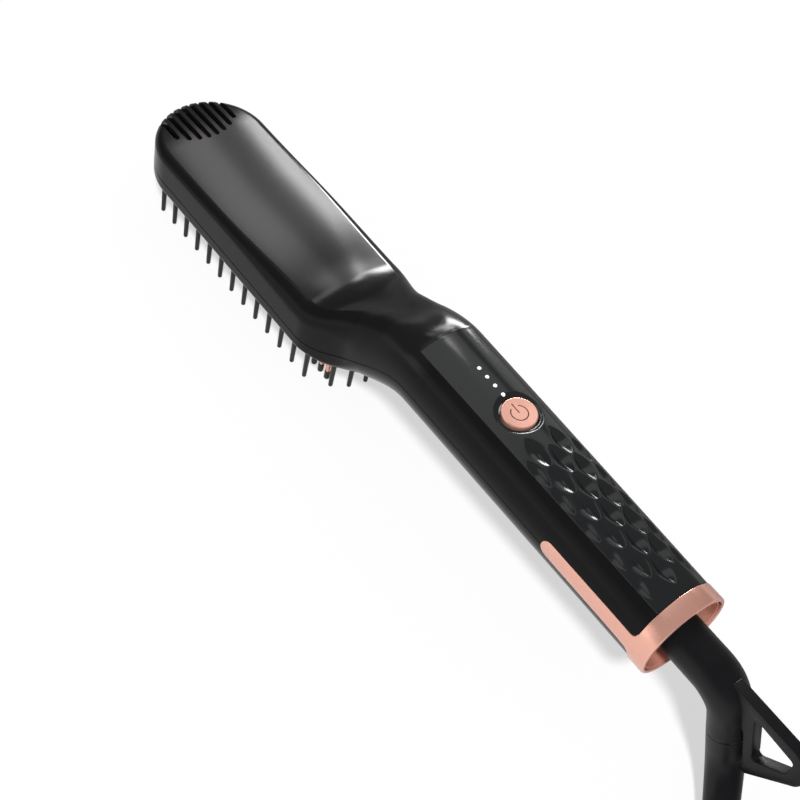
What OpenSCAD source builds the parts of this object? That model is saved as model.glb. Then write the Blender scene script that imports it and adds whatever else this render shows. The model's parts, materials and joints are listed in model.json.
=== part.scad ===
// Heated straightening comb: a comb head on a round grip, with a swivelling mains cord.
// X runs from the head's tip to the cord end, Z is up, the comb stands on the tips of its teeth.

/* [Head] */
// Width of the comb head
head_w = 32; // [29:0.5:36]
// Length of the head between the centres of its round ends
head_len = 61; // [50:1:80]
// Height of the head's top above the parting line, at the tip
head_h = 9.2; // [8:0.1:12]
// Height of the head's top above the parting line, where the neck begins
head_h_neck = 11.9; // [10:0.1:14]
// Edge rounding of the head's top at the tip
shoulder_r = 3.1; // [2:0.1:5]
// Edge rounding of the head's top where the neck begins
shoulder_r_neck = 6.2; // [4:0.1:8]
// Depth of the lower rim below the parting line
rim_h = 4; // [3.6:0.1:6]

/* [Vents] */
// Number of vent slots over the tip
vent_count = 8; // [4:1:10]
// Spacing of the vent slots
vent_pitch = 2.6; // [2:0.1:2.7]
// Width of one vent slot
vent_w = 1.15; // [0.6:0.05:1.5]
// Distance from the tip to the inner end of the middle slots
vent_reach = 15.6; // [12:0.2:20]

/* [Neck and handle] */
// Length of the neck between head and handle
neck_len = 37; // [32:1:50]
// Rise of the handle's axis above the head's parting line
handle_rise = 15.8; // [14:0.2:20]
// Width of the handle
handle_w = 23.6; // [23:0.2:28]
// Length of the handle up to the end ring
handle_len = 81; // [76:1:110]
// Height of the handle's top above its axis, at the neck
handle_top = 12.2; // [11.6:0.1:14]
// Height of the handle's top above its axis, at the end ring
handle_top_end = 11.9; // [11.6:0.1:14]
// Fullness of the handle's upper half at the neck, where 2 is round
fullness = 2.6; // [2:0.1:3]

/* [Shells] */
// Wall of the two housing shells
wall = 1.8; // [1.5:0.1:2.1]
// Gap at the parting line
seam_gap = 0.1; // [0.05:0.05:0.3]

/* [Comb] */
// Reach of the guard teeth below the rim
tooth_out = 11.4; // [9:0.2:16]
// Spacing of the guard teeth
tooth_pitch = 5.65; // [5.2:0.05:8]
// Diameter of a guard tooth at its root
tooth_d = 1.5; // [1.3:0.1:2]
// Diameter of a guard tooth at its tip
tooth_tip_d = 1.2; // [0.8:0.1:1.3]
// Distance of the guard teeth from the head's side
guard_inset = 3; // [2.9:0.05:3.4]
// Width of the guard frame's rail
guard_rail = 1.8; // [1.6:0.1:2]
// Thickness of the heating plate
plate_h = 1.4; // [1:0.1:1.6]
// Distance from the guard teeth to the outer row of heated teeth
heated_inset = 4.5; // [4.4:0.1:5]
// Diameter of a heated tooth at its root
heated_d = 1.8; // [1.5:0.1:2]
// Diameter of a heated tooth under its cap
heated_tip_d = 1.3; // [1:0.1:1.4]
// Length of the heat guard cap on a heated tooth
cap_len = 3.1; // [2:0.1:4]
// Diameter of the heat guard cap
cap_d = 1.6; // [1.5:0.05:1.8]
// How far the heated teeth stay short of the guard teeth
cap_lift = 0.5; // [0.3:0.1:1.5]

/* [Heater] */
// Length of one ceramic heater
heater_len = 22; // [14:1:22]
// Width of the ceramic heaters
heater_w = 7; // [5:0.5:9]
// Thickness of the ceramic heaters
heater_h = 1.6; // [1:0.1:1.8]

/* [Controls] */
// Diameter of the power button
button_d = 9; // [8:0.2:10]
// Distance of the power button from the neck
button_at = 25.1; // [24:0.2:28]
// Travel of the power button
button_travel = 0.7; // [0.4:0.1:1]
// Gap round the power button
button_gap = 0.25; // [0.15:0.05:0.4]
// Number of status lights
light_count = 4; // [2:1:4]
// Spacing of the status lights
light_pitch = 2.95; // [2.6:0.05:3]
// Distance of the first status light from the neck
light_at = 10.2; // [9.8:0.1:10.6]
// Diameter of a status light
light_d = 1.1; // [0.8:0.1:1.4]
// Angle that the grip panel spans round the handle
panel_angle = 75; // [70:1:84]
// Thickness of the grip panel
panel_h = 1.2; // [1.1:0.05:1.3]
// Spacing of the grip's diamonds along the handle
diamond_pitch = 8.4; // [7.6:0.1:9]
// Spacing of the grip's rows of diamonds round the handle
diamond_angle = 16.6; // [15:0.2:18]
// Depth of one diamond
diamond_h = 0.9; // [0.4:0.05:0.95]
// Number of diamonds along each row
diamond_count = 5; // [3:1:5]

/* [End ring] */
// Length of the end ring
ring_len = 5; // [4.6:0.1:8]
// Wall of the end ring round its recess
ring_wall = 1.7; // [1.4:0.1:2.2]
// Depth of the recess in the end ring
recess_h = 3.8; // [2.4:0.1:3.9]
// Length of the side arms, from the end ring forwards
arm_len = 30.4; // [20:0.2:40]
// Height of the side arms
arm_w = 4.8; // [3:0.1:6]

/* [Swivel] */
// Diameter of the swivel stem
stem_d = 11; // [10.4:0.1:11.6]
// Distance from the end ring to the bend of the swivel stem
stem_out = 15.1; // [13:0.1:20]
// Angle that the stem turns down
elbow_angle = 69; // [60:1:72]
// Bend radius of the elbow
elbow_r = 9; // [8:0.1:10]
// Length of the elbow below its bend
elbow_out = 12.3; // [11.5:0.1:14]
// Thickness of the hanging loop
loop_h = 3; // [2:0.1:5]
// Thickness of the loop's top bar
loop_bar = 2.8; // [2.2:0.1:3.4]
// Reach of the loop beyond the stem's bend
loop_reach = 24.1; // [23:0.1:28]
// Radius of the loop's round corner
loop_r = 6; // [5:0.1:6.6]

/* [Cord] */
// Diameter of the strain relief at the elbow
boot_d = 9.6; // [9:0.1:10]
// Diameter of the strain relief at its far end
boot_end_d = 7.4; // [6.8:0.1:8.4]
// Diameter of the mains cord
cord_d = 6; // [5.6:0.1:6.4]
// Length of the plug's body
plug_len = 36; // [30:1:40]
// Width of the plug's body
plug_w = 34; // [32:1:38]
// Height of the plug's body
plug_h = 13; // [11:0.5:15]
// Diameter of a plug pin
pin_d = 4; // [3.8:0.1:4.2]
// Length of a plug pin
pin_len = 19; // [17:0.5:20]
// Spacing of the plug pins
pin_pitch = 19; // [17:0.5:20]

/* [Hidden] */
$fn = 64;

// Clearances: of a seated piece, of a running fit, and of a moving piece beside a fixed one
seat = 0.05;
running = 0.04;
free = 0.3;

// Places along the comb, measured from the head's tip
s_tip = head_w / 2;
s_neck = s_tip + head_len;
s_grip = s_neck + neck_len;
s_ring = s_grip + handle_len;
s_end = s_ring + ring_len;
s_bend = s_end + stem_out;
s_reach = s_bend + loop_reach;
s_panel = s_grip - 1.7;
s_button = s_grip + button_at;

// Shape of the skin: level stretches of the head's top, and the least flat between two roundings
tip_level = 9;
neck_level = 3;
edge_flat = 0.15;
vent_arc_r = 13.2;
rim_r = 1;
rim_round_h = 1.5;
least_r = 0.2;
corner_steps = 8;
section_step = 2.4;

// Heights in the head, measured from the parting line
z_ledge = wall - rim_h;
flange_h = 0.8;
ledge_fit = 0.1;
z_plate = z_ledge + flange_h;
z_heater = z_plate + plate_h;
z_sheet = z_heater + heater_h;
sheet_h = 0.3;
z_clamp = z_sheet + sheet_h;
clamp_h = 0.8;
clamp_head_h = 1.2;
z_shield = z_clamp + clamp_h + clamp_head_h + 0.4;
z_tips = -rim_h - tooth_out;

// The comb: guard teeth on a frame round the heated teeth
guard_r = head_w / 2 - guard_inset;
frame_r = guard_r + 1;
frame_in_r = frame_r - guard_rail;
opening_r = frame_r + seat;
flange_r = opening_r + 0.1;
tooth_over = 3.65;
tooth_count = floor((head_len + 2 * tooth_over) / tooth_pitch) + 1;
s_teeth = s_tip + head_len / 2 - (tooth_count - 1) / 2 * tooth_pitch;
end_angle = 21.5;
end_teeth = [-2:2];
heated_y = guard_r - heated_inset;
heated_shift = -1.85;
cap_z = z_tips + cap_lift + cap_len;
half_pitch = tooth_pitch / 2;
// Places of the heated teeth: two close outer rows, two inner rows and a middle row between them
heated_places = concat(
    [for (i = [0:2 * tooth_count], side = [-1, 1])
        [s_teeth + heated_shift + i * half_pitch, side * heated_y]],
    [for (i = [0:tooth_count - 1], side = [-1, 1])
        [s_teeth + i * tooth_pitch, side * heated_y / 2]],
    [for (i = [0:tooth_count]) [s_teeth + (i - 0.5) * tooth_pitch, 0]]);

// The heaters lie in line on the plate, with clamp screws between and beyond them
s_mid = s_tip + head_len / 2;
post_d = 4;
heater_slack = 0.5;
heater_at = (post_d + heater_len) / 2 + heater_slack;
post_at = heater_at + (heater_len + post_d) / 2 + heater_slack;
clamp_screw_d = 1.8;
clamp_head_d = 3.6;
shield_t = 0.4;
shield_w = max(heater_w, post_d) + 2.6;
press_post_d = 3.2;
press_post_inset = 8;
press_post_at = head_len / 2 - press_post_inset;
press_post_y = shield_w / 2 + 4.6;
beside_shield = shield_w / 2 + 2.4;
sensor_d = 2.6;
sensor_h = 1.4;
sensor_at = 14;
thermal_fuse_d = 3.2;
thermal_fuse_len = 10;
thermal_fuse_at = 8;
tapping_at = 0.6;

// The board in the handle, and what stands on it
board_h = 1.6;
board_z = handle_rise + 1.2;
board_top = board_z + board_h;
board_w = 14;
board_behind_grip = 9.5;
board_before_ring = 28;
s_board = s_grip + board_behind_grip;
s_board_end = s_ring - board_before_ring;
board_post_d = 2.6;
board_post_inset = 8;
board_posts = [s_board + board_post_inset, s_board_end - board_post_inset];
capacitor = [13, 8, 7];
capacitor_at = 14;
triac_size = [9, 8, 2.5];
triac_at = 9;
board_fuse_d = 4.4;
board_fuse_len = 7;
board_fuse_at = 31;
switch_w = 6;
switch_h = 3.6;
plunger_d = 3.4;
plunger_in = 1.6;
chip_h = 1.1;
boss_d = 6.4;
boss_behind_grip = 4.5;
boss_before_ring = 24;
boss_at = [s_grip + boss_behind_grip, s_ring - boss_before_ring];
boss_seat = 4;
shell_screw_d = 2.2;
shell_screw_head_d = 4.2;
shell_screw_head_h = 1.6;
shell_screw_len = 11;
lead_d = 1.6;
lead_y = 5;
leads_gather = 4;
sensor_lead_d = 1;
sensor_lead_y = 6.6;
lead_places = [0.32, 0.5, 0.7, 0.88];
lead_rises = [3, 3, 2.8, 2.3];

// The grip panel lies in a bed in the upper shell
panel_fit = 0.05;
grip_wall = wall + panel_h + panel_fit;
button_top = grip_z(s_button) - 0.1;
button_hole_d = button_d + 2 * button_gap + 0.6;
mark_h = 0.2;
mark_r = 2.1;
mark_w = 0.25;
mark_gap = 60;
mark_reach = 3;
button_ear = 0.9;
button_ear_w = 5;
button_ear_h = 0.7;
z_button_ears = grip_z(s_button) - grip_wall - free - button_ear_h;
scoop_edge = 1.25;
scoop_h = 0.5;
diamond_len = 9.3;
diamond_w = 4.2;
s_diamonds = s_button + 10.8;

// The end ring and the swivel
ring_r = handle_w / 2 + 0.3;
ring_gap = 0.1;
ring_edge = 0.4;
arm_h = 1.1;
arm_fillet = 1.5;
arm_rise = 0.45;
arm_fit = 0.1;
s_bulkhead = s_end - recess_h;
stem_r = stem_d / 2;
spigot_fit = 0.35;
spigot_len = 6;
spigot_r = min(handle_w / 2, handle_top_end) - grip_wall - spigot_fit;
bush_share = 19 / 29;
bush_r = mix(stem_r, spigot_r, bush_share);
s_spigot = s_ring - spigot_len;
tail_r = 4;
tail_len = 20;
s_tail = s_ring - tail_len;
clip_h = 1;
clip_fit = 0.4;
clip_r = bush_r - clip_fit;
clip_groove = 0.8;
shoulder_h = 1.2;
collar_fit = 0.2;
collar_h = 1;
collar_r = stem_r + 0.9;
s_clip = s_spigot - clip_h - free;
slip_r = 4.7;
slip_h = 2.5;
slip_step = 5;
slip_edge = 1.5;
slip_at = [s_tail + slip_edge, s_tail + slip_edge + slip_step];
brush_foot = 4;
brush_off = 0.7;
brush_bend = 1.4;
brush_t = 0.3;
brush_w = 2.4;

// The elbow turns down in the XZ plane, and the loop stands behind its bend
down = [cos(elbow_angle), 0, -sin(elbow_angle)];
bend_reach = elbow_r * tan(elbow_angle / 2);
loop_top = 4.2;
loop_side = 4;
loop_boot_gap = 0.35;
loop_foot_r = 1.2;
loop_foot = 6.6;
loop_root = 4;
loop_web = 2.9;
window_end = [1.6, -2];
window_foot = 0.9;

// The strain relief runs straight, bends down to the table and then turns along it
turn_angle = 50;
boot_bend_r = 14;
boot_turn_r = 40;
boot_turn_len = 12;
boot_steps = 16;
boot_sides = 16;
z_table = z_tips;
boot_side = [cos(turn_angle), -sin(turn_angle), 0];
boot_drop = acos(down * boot_side);
boot_from = [s_bend, 0, handle_rise] + elbow_out * down;
boot_table_z = z_table + (boot_d + boot_end_d) / 4 + 0.3;
boot_lead = (boot_from[2] - boot_table_z) / sin(elbow_angle) - boot_bend_r * tan(boot_drop / 2);
boot_len = boot_lead + boot_bend_r * boot_drop * PI / 180 + boot_turn_len;
boot_end = boot_point(boot_len);

// The cord's route, as points from the head's tip, from the middle plane and above the table
cord_sides = 10;
cord_route = [[248, -19.4, 0.5], [255, -21.6, 0.1], [262, -22.4, 0]];
hank_s = [273.6, 347.6];
hank_y = 1.6;
hank_r = 15;
hank_turns = [2, 3];
hank_w = hank_turns[0] * cord_d;
hank_h = hank_turns[1] * cord_d;
tie_w = 9;
tie_t = 0.7;
s_tie = 305;
s_plug = 327;
plug_tail = 12;
plug_taper = 0.55 * plug_len;
plug_neck_w = 12;
plug_edge = 2;
pin_edge = 1;
pin_root = 4;
pin_root_d = pin_d - 0.8;

// Places the whole comb: its middle at X = 0, its middle plane at Y = 0, its tips at Z = 0
x_tip = -s_reach / 2;

// Smooth step from 0 at a to 1 at b
function ramp(s, a, b) = let (t = min(max((s - a) / (b - a), 0), 1)) t * t * (3 - 2 * t);
function mix(a, b, t) = a + (b - a) * t;
// A place along the neck, which is 0 at the head and 1 at the handle
function neck_at(f) = s_neck + f * neck_len;
// How far along the handle a section lies, from 0 to 1
function grip_at(s) = min(max((s - s_grip) / handle_len, 0), 1);
function head_at(s) =
    min(max((s - s_tip - tip_level) / (head_len + neck_level - tip_level), 0), 1);

// The skin's half width, parting height, top and bottom at a section
function half_w(s) = mix(head_w / 2, handle_w / 2, ramp(s, neck_at(0.016), neck_at(0.42)));
function part_z(s) = handle_rise * ramp(s, neck_at(0.127), neck_at(0.995));
function head_z(s) = mix(head_h, head_h_neck, head_at(s));
function grip_z(s) = handle_rise + mix(handle_top, handle_top_end, grip_at(s));
function top_z(s) = mix(head_z(s), grip_z(s), pow(ramp(s, neck_at(0.105), neck_at(0.99)), 0.57));
function bottom_z(s) =
    mix(-rim_h, handle_rise - handle_w / 2, ramp(s, neck_at(0.376), neck_at(0.948)));
// How round a section is, from the head's flat form to the handle's full one
function round_top(s) = ramp(s, neck_at(0.223), neck_at(0.683));
function round_low(s) = ramp(s, neck_at(0.213), neck_at(0.541));
function full(s) = mix(2, fullness, round_top(s) * (1 - grip_at(s)));
function skin_in(s) = mix(wall, grip_wall, ramp(s, neck_at(0.45), neck_at(0.9)));

// One rounded corner as an arc of a superellipse, from the side to the top
function corner(w, z, ry, rz, n) = [for (i = [0:corner_steps])
    let (t = 90 * i / corner_steps)
    [w - ry + ry * pow(cos(t), 2 / n), z - rz + rz * pow(sin(t), 2 / n)]];
// Half sections of the two shells, set in from the skin by a wall
function upper_half(s, inset) =
    let (w = half_w(s) - inset, low = part_z(s) + seam_gap / 2, high = top_z(s) - inset,
        r = max(mix(shoulder_r, shoulder_r_neck, head_at(s)) - inset, 0.6),
        ry = min(mix(r, w, round_top(s)), w - edge_flat),
        rz = min(mix(r, high - low, round_top(s)), high - low - edge_flat))
    concat([[w, low]], corner(w, high, ry, rz, full(s)));
function lower_half(s, inset) =
    let (w = half_w(s) - inset, high = part_z(s) - seam_gap / 2, low = bottom_z(s) + inset,
        r = max(mix(rim_r, half_w(s), round_low(s)) - inset, least_r),
        rh = max(mix(rim_round_h, high - bottom_z(s), round_low(s)) - inset, least_r),
        ry = min(r, w - edge_flat),
        rz = min(rh, high - low - edge_flat))
    [for (p = concat([[w, -high]], corner(w, -low, ry, rz, 2))) [p[0], -p[1]]];

function reversed(list) = [for (i = [len(list) - 1:-1:0]) list[i]];
function mirrored(list) = [for (p = list) [-p[0], p[1]]];
// A closed wall section, from the outer skin's right edge over to the left and back inside
function wall_section(outer, inner) =
    concat(outer, reversed(mirrored(outer)), mirrored(inner), reversed(inner));
function at_section(s, section) = [for (p = section) [s, p[0], p[1]]];

// Sections are close together in the neck, where the form changes
neck_steps = round(neck_len / section_step);
sections = concat([for (i = [0:4]) s_tip + i * head_len / 4],
    [for (i = [1:neck_steps]) s_neck + i * neck_len / neck_steps],
    [for (i = [1:3]) s_grip + i * handle_len / 3]);

// Skin over equal rings of points, closed at both ends by strips across the ring
module loft(rings) {
    n = len(rings[0]);
    m = len(rings);
    far = (m - 1) * n;
    sides = [for (i = [0:m - 2], j = [0:n - 1])
        let (a = i * n + j, b = i * n + (j + 1) % n)
        each [[a, a + n, b], [b, a + n, b + n]]];
    ends = [for (j = [0:n / 2 - 2])
        each [[j, j + 1, n - 2 - j, n - 1 - j], [far + n - 1 - j, far + n - 2 - j, far + j + 1, far + j]]];
    polyhedron([for (ring = rings) each ring], concat(sides, ends));
}

// A round tube along points, with one radius for each, its rings set square to the route
module sweep(points, radii, sides, side) {
    last = len(points) - 1;
    loft([for (i = [0:last])
        let (t = points[min(i + 1, last)] - points[max(i - 1, 0)],
            u = cross(t, side) / norm(cross(t, side)),
            v = cross(u, t) / norm(t))
        [for (j = [0:sides - 1])
            let (a = 360 * j / sides)
            points[i] + radii[i] * (cos(a) * u + sin(a) * v)]]);
}

module on_comb() {
    translate([x_tip, 0, -z_tips]) children();
}

// A plate with round ends, of the head's outline
module stadium(r, z, h) {
    translate([0, 0, z])
        linear_extrude(h) {
            translate([s_tip, 0])
                circle(r);
            translate([s_neck, 0])
                circle(r);
            translate([s_tip, -r])
                square([head_len, 2 * r]);
        }
}

// A cylinder along X
module bar(s, len, r) {
    translate([s, 0, handle_rise])
        rotate([0, 90, 0])
            cylinder(h = len, r = r);
}

module tip(section) {
    translate([s_tip, 0, 0])
        rotate([0, 0, 90])
            rotate_extrude(angle = 180)
                polygon(section);
}

// One side arm seen from the side, with its rounded front and its fillets to the ring
module arm_outline(fit) {
    r = arm_w / 2;
    s_front = s_ring - arm_len + r;
    translate([s_front, arm_rise])
        circle(r + fit);
    translate([s_front, arm_rise - r - fit])
        square([s_ring - s_front + ring_gap, arm_w + 2 * fit]);
    for (side = [0, 1])
        translate([s_ring - arm_fillet, arm_rise])
            mirror([0, side])
                difference() {
                    translate([0, r])
                        square([arm_fillet + ring_gap, arm_fillet]);
                    translate([0, r + arm_fillet])
                        circle(arm_fillet - fit);
                }
}

module arms(r_in, r_out, fit) {
    intersection() {
        difference() {
            bar(s_ring - arm_len - 1, arm_len + 1 + ring_gap, r_out);
            bar(s_ring - arm_len - 2, arm_len + 3, r_in);
        }
        translate([0, ring_r + 1, handle_rise])
            rotate([90, 0, 0])
                linear_extrude(2 * ring_r + 2)
                    arm_outline(fit);
    }
}

// Radius of the handle's skin at an angle from its top
function grip_skin(s, a) =
    let (n = full(s))
    1 / pow(pow(abs(sin(a)) / (handle_w / 2), n) + pow(cos(a) / (grip_z(s) - handle_rise), n), 1 / n);
function on_grip(s, a, depth) =
    let (r = grip_skin(s, a) - depth)
    [s, r * sin(a), handle_rise + r * cos(a)];

// A piece of the handle's skin, from one depth to another
module skin_sector(s_list, angle, depth, cover) {
    steps = 12;
    loft([for (s = s_list) concat(
        [for (i = [0:steps]) on_grip(s, angle * (i / steps - 0.5), depth)],
        [for (i = [steps:-1:0]) on_grip(s, angle * (i / steps - 0.5), -cover)])]);
}

module upper_shell() {
    color("#2b2b2c") on_comb() difference() {
        union() {
            loft([for (s = sections)
                at_section(s, wall_section(upper_half(s, 0), upper_half(s, skin_in(s))))]);
            tip(concat(upper_half(s_tip, 0), [[0, head_h], [0, head_h - wall]],
                reversed(upper_half(s_tip, wall))));
            for (i = [-1, 1], j = [-1, 1])
                let (s = s_mid + i * press_post_at)
                    translate([s, j * press_post_y, z_heater])
                        cylinder(h = head_z(s) - wall / 2 - z_heater, d = press_post_d);
            for (s = boss_at)
                translate([s, 0, handle_rise + seat])
                    cylinder(h = grip_z(s) - handle_rise - grip_wall + wall / 2, d = boss_d);
        }
        vents();
        skin_sector([s_panel - panel_fit, s_grip, mix(s_grip, s_ring, 0.5), s_ring + 1],
            panel_angle + 1, panel_h + panel_fit, 1);
        for (s = boss_at)
            translate([s, 0, handle_rise]) {
                translate([0, 0, -1])
                    cylinder(h = handle_top + 2, d = shell_screw_d + 2 * seat);
                translate([0, 0, boss_seat])
                    cylinder(h = handle_top, d = shell_screw_head_d + 2 * free);
            }
        button_well(button_hole_d);
        light_holes(light_d + 2 * seat);
        arms(ring_r - 0.3 - arm_h - arm_fit, ring_r + 1, arm_fit);
    }
}

module vents() {
    middle = (vent_count - 1) / 2;
    depth = wall + 0.8;
    for (i = [0:vent_count - 1])
        let (y = (i - middle) * vent_pitch,
            s = vent_reach - vent_w / 2 - vent_arc(y),
            z = head_h - depth) {
            translate([s, y, z])
                cylinder(h = depth + 1, d = vent_w, $fn = 24);
            translate([-1, y - vent_w / 2, z])
                cube([s + 1, vent_w, depth + 1]);
        }
}

// The inner ends of the slots lie on an arc
function vent_arc(y) = vent_arc_r - sqrt(pow(vent_arc_r, 2) - pow(min(abs(y), vent_arc_r - 1), 2));

module button_well(d) {
    translate([s_button, 0, handle_rise])
        cylinder(h = 2 * handle_top, d = d);
}

module light_holes(d) {
    for (i = [0:light_count - 1])
        translate([s_grip + light_at + i * light_pitch, 0, handle_rise])
            cylinder(h = 2 * handle_top, d = d, $fn = 24);
}

module lower_shell() {
    color("#262627") on_comb() difference() {
        union() {
            loft([for (s = sections)
                at_section(s, reversed(wall_section(lower_half(s, 0), lower_half(s, wall))))]);
            tip(concat(lower_half(s_tip, 0), [[0, -rim_h], [0, z_ledge]],
                reversed(lower_half(s_tip, wall))));
            for (s = boss_at)
                translate([s, 0, handle_rise - handle_w / 2 + wall / 2])
                    cylinder(h = handle_w / 2 - wall / 2, d = boss_d);
            for (s = board_posts, y = [-1, 1])
                translate([s, y * (board_w / 2 - 1.5), handle_rise - handle_w / 2 + 2 * wall])
                    cylinder(h = board_z - handle_rise + handle_w / 2 - 2 * wall, d = board_post_d);
        }
        stadium(opening_r, -rim_h - 1, wall + 1.5);
        for (s = boss_at)
            translate([s, 0, handle_rise + boss_seat - shell_screw_len - 1])
                cylinder(h = shell_screw_len + 2, d = shell_screw_d + 2 * seat);
        arms(ring_r - 0.3 - arm_h - arm_fit, ring_r + 1, arm_fit);
    }
}

module grip_panel() {
    color("#3a3a3c") on_comb() difference() {
        intersection() {
            skin_sector([s_panel, s_grip, mix(s_grip, s_ring, 0.5), s_ring - seat],
                panel_angle, panel_h, 0);
            translate([s_panel - 1, -handle_w / 2, handle_rise])
                cube([s_ring - s_panel + 2, handle_w, 2 * handle_top]);
        }
        button_well(button_d + 2 * button_gap);
        light_holes(light_d + 2 * seat);
        translate([s_button, 0, grip_z(s_button) - scoop_h])
            cylinder(h = 4 * scoop_h, d1 = button_d + 2 * button_gap,
                d2 = button_d + 2 * button_gap + 8 * scoop_edge);
        for (row = [-2:2], i = [0:diamond_count - 1])
            diamond(s_diamonds + (i + (row % 2 == 0 ? 0.5 : 0)) * diamond_pitch, row * diamond_angle);
    }
}

// One hollow of the grip: a four-sided pyramid, longer than wide, sunk into the skin
module diamond(s, a) {
    r = grip_skin(s, a);
    over = 0.4;
    f = 1 + over / diamond_h;
    translate([s, 0, handle_rise])
        rotate([-a, 0, 0])
            polyhedron(
                [[f * diamond_len / 2, 0, r + over], [0, f * diamond_w / 2, r + over],
                    [-f * diamond_len / 2, 0, r + over], [0, -f * diamond_w / 2, r + over],
                    [0, 0, r - diamond_h]],
                [[3, 2, 1, 0], [0, 1, 4], [1, 2, 4], [2, 3, 4], [3, 0, 4]]);
}

module end_ring() {
    color("#c89487") on_comb() union() {
        difference() {
            union() {
                bar(s_ring + ring_gap, ring_len - ring_gap - ring_edge, ring_r);
                translate([s_end - ring_edge, 0, handle_rise])
                    rotate([0, 90, 0])
                        cylinder(h = ring_edge, r1 = ring_r, r2 = ring_r - ring_edge);
                bar(s_spigot, s_bulkhead - s_spigot, spigot_r);
            }
            bar(s_bulkhead, recess_h + 1, ring_r - ring_wall);
            bar(s_ring, ring_len, stem_r + free);
            bar(s_spigot - 1, s_ring - s_spigot + 1, bush_r + seat);
        }
        arms(ring_r - 0.3 - arm_h, ring_r - 0.3 + 0.05, 0);
    }
}

module status_lights() {
    color("white") on_comb()
        for (i = [0:light_count - 1])
            let (s = s_grip + light_at + i * light_pitch)
                translate([s, 0, board_top + chip_h + 0.2])
                    cylinder(h = grip_z(s) - board_top - chip_h - 0.2, d = light_d, $fn = 24);
}

module control_board() {
    color("#2f6b3c") on_comb()
        translate([s_board, -board_w / 2, board_z])
            cube([s_board_end - s_board, board_w, board_h]);
}

module led_chips() {
    color("#f2f0e0") on_comb()
        for (i = [0:light_count - 1])
            translate([s_grip + light_at + i * light_pitch - 0.8, -1, board_top])
                cube([1.6, 2, chip_h]);
}

module tact_switch() {
    color("#9a9a9c") on_comb() difference() {
        translate([s_button - switch_w / 2, -switch_w / 2, board_top])
            cube([switch_w, switch_w, switch_h]);
        translate([s_button, 0, board_top + switch_h - plunger_in - button_travel - free])
            cylinder(h = plunger_in + button_travel + 1, d = plunger_d + 2 * running);
    }
}

module mains_capacitor() {
    color("#d9b43a") on_comb()
        translate([s_board + capacitor_at, -capacitor[1] / 2, board_z - capacitor[2]])
            cube(capacitor);
}

module triac() {
    color("#1d1d1f") on_comb()
        translate([s_button + triac_at, -triac_size[1] / 2, board_top])
            cube(triac_size);
}

module board_fuse() {
    color("#c8c2ae") on_comb()
        translate([s_board + board_fuse_at, 0, board_z - board_fuse_d / 2])
            rotate([0, 90, 0])
                cylinder(h = board_fuse_len, d = board_fuse_d, $fn = 32);
}

module guard_frame() {
    color("#1c1c1d") on_comb() difference() {
        union() {
            stadium(frame_r, -rim_h, wall + flange_h);
            stadium(flange_r, z_ledge + ledge_fit, flange_h - ledge_fit);
        }
        stadium(frame_in_r, -rim_h - 1, wall + flange_h + 2);
    }
}

// A tooth hanging down from a height, with a round tip
module tooth(z_root, z_tip, d_root, d_tip) {
    translate([0, 0, z_tip + d_tip / 2]) {
        cylinder(h = z_root - z_tip - d_tip / 2, d1 = d_tip, d2 = d_root, $fn = 24);
        intersection() {
            sphere(d = d_tip, $fn = 24);
            translate([0, 0, -d_tip])
                cube(2 * d_tip, center = true);
        }
    }
}

module guard_teeth() {
    color("#1c1c1d") on_comb() {
        for (i = [0:tooth_count - 1], side = [-1, 1])
            translate([s_teeth + i * tooth_pitch, side * guard_r, 0])
                tooth(-rim_h, z_tips, tooth_d, tooth_tip_d);
        for (i = end_teeth, end = [0, 1])
            translate([end == 0 ? s_tip : s_neck, 0, 0])
                rotate([0, 0, 180 * (1 - end) + i * end_angle])
                    translate([guard_r, 0, 0])
                        tooth(-rim_h, z_tips, tooth_d, tooth_tip_d);
    }
}

module heating_plate() {
    color("#c89487") on_comb() difference() {
        union() {
            stadium(frame_in_r + 1.3, z_plate, plate_h);
            for (i = [-1:1])
                translate([s_mid + i * post_at, 0, z_plate])
                    cylinder(h = z_clamp - z_plate, d = post_d, $fn = 32);
        }
        for (i = [-1:1])
            translate([s_mid + i * post_at, 0, z_plate + tapping_at])
                cylinder(h = z_clamp - z_plate, d = clamp_screw_d + 2 * seat, $fn = 32);
    }
}

module heated_teeth() {
    color("#c89487") on_comb()
        for (p = heated_places)
            translate([p[0], p[1], cap_z])
                cylinder(h = z_plate - cap_z, d1 = heated_tip_d, d2 = heated_d, $fn = 24);
}

module heat_caps() {
    color("#1c1c1d") on_comb()
        for (p = heated_places)
            translate([p[0], p[1], 0])
                tooth(cap_z, z_tips + cap_lift, cap_d, cap_d);
}

module ceramic_heaters() {
    color("#e9e4da") on_comb()
        for (side = [-1, 1])
            translate([s_mid + side * heater_at - heater_len / 2, -heater_w / 2, z_heater])
                cube([heater_len, heater_w, heater_h]);
}

module insulation_sheet() {
    color("#c9a66b") on_comb() difference() {
        translate([s_mid - post_at, -heater_w / 2, z_sheet])
            cube([2 * post_at, heater_w, sheet_h]);
        for (i = [-1:1])
            translate([s_mid + i * post_at, 0, z_sheet - 1])
                cylinder(h = 3, d = post_d + 0.2, $fn = 32);
    }
}

module heater_clamp() {
    color("#b8bcc0") on_comb() difference() {
        translate([s_mid - post_at - post_d / 2, -post_d / 2 - 0.5, z_clamp])
            cube([2 * post_at + post_d, post_d + 1, clamp_h]);
        for (i = [-1:1])
            translate([s_mid + i * post_at, 0, z_clamp - 1])
                cylinder(h = 3, d = clamp_screw_d + 0.2, $fn = 32);
    }
}

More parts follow.
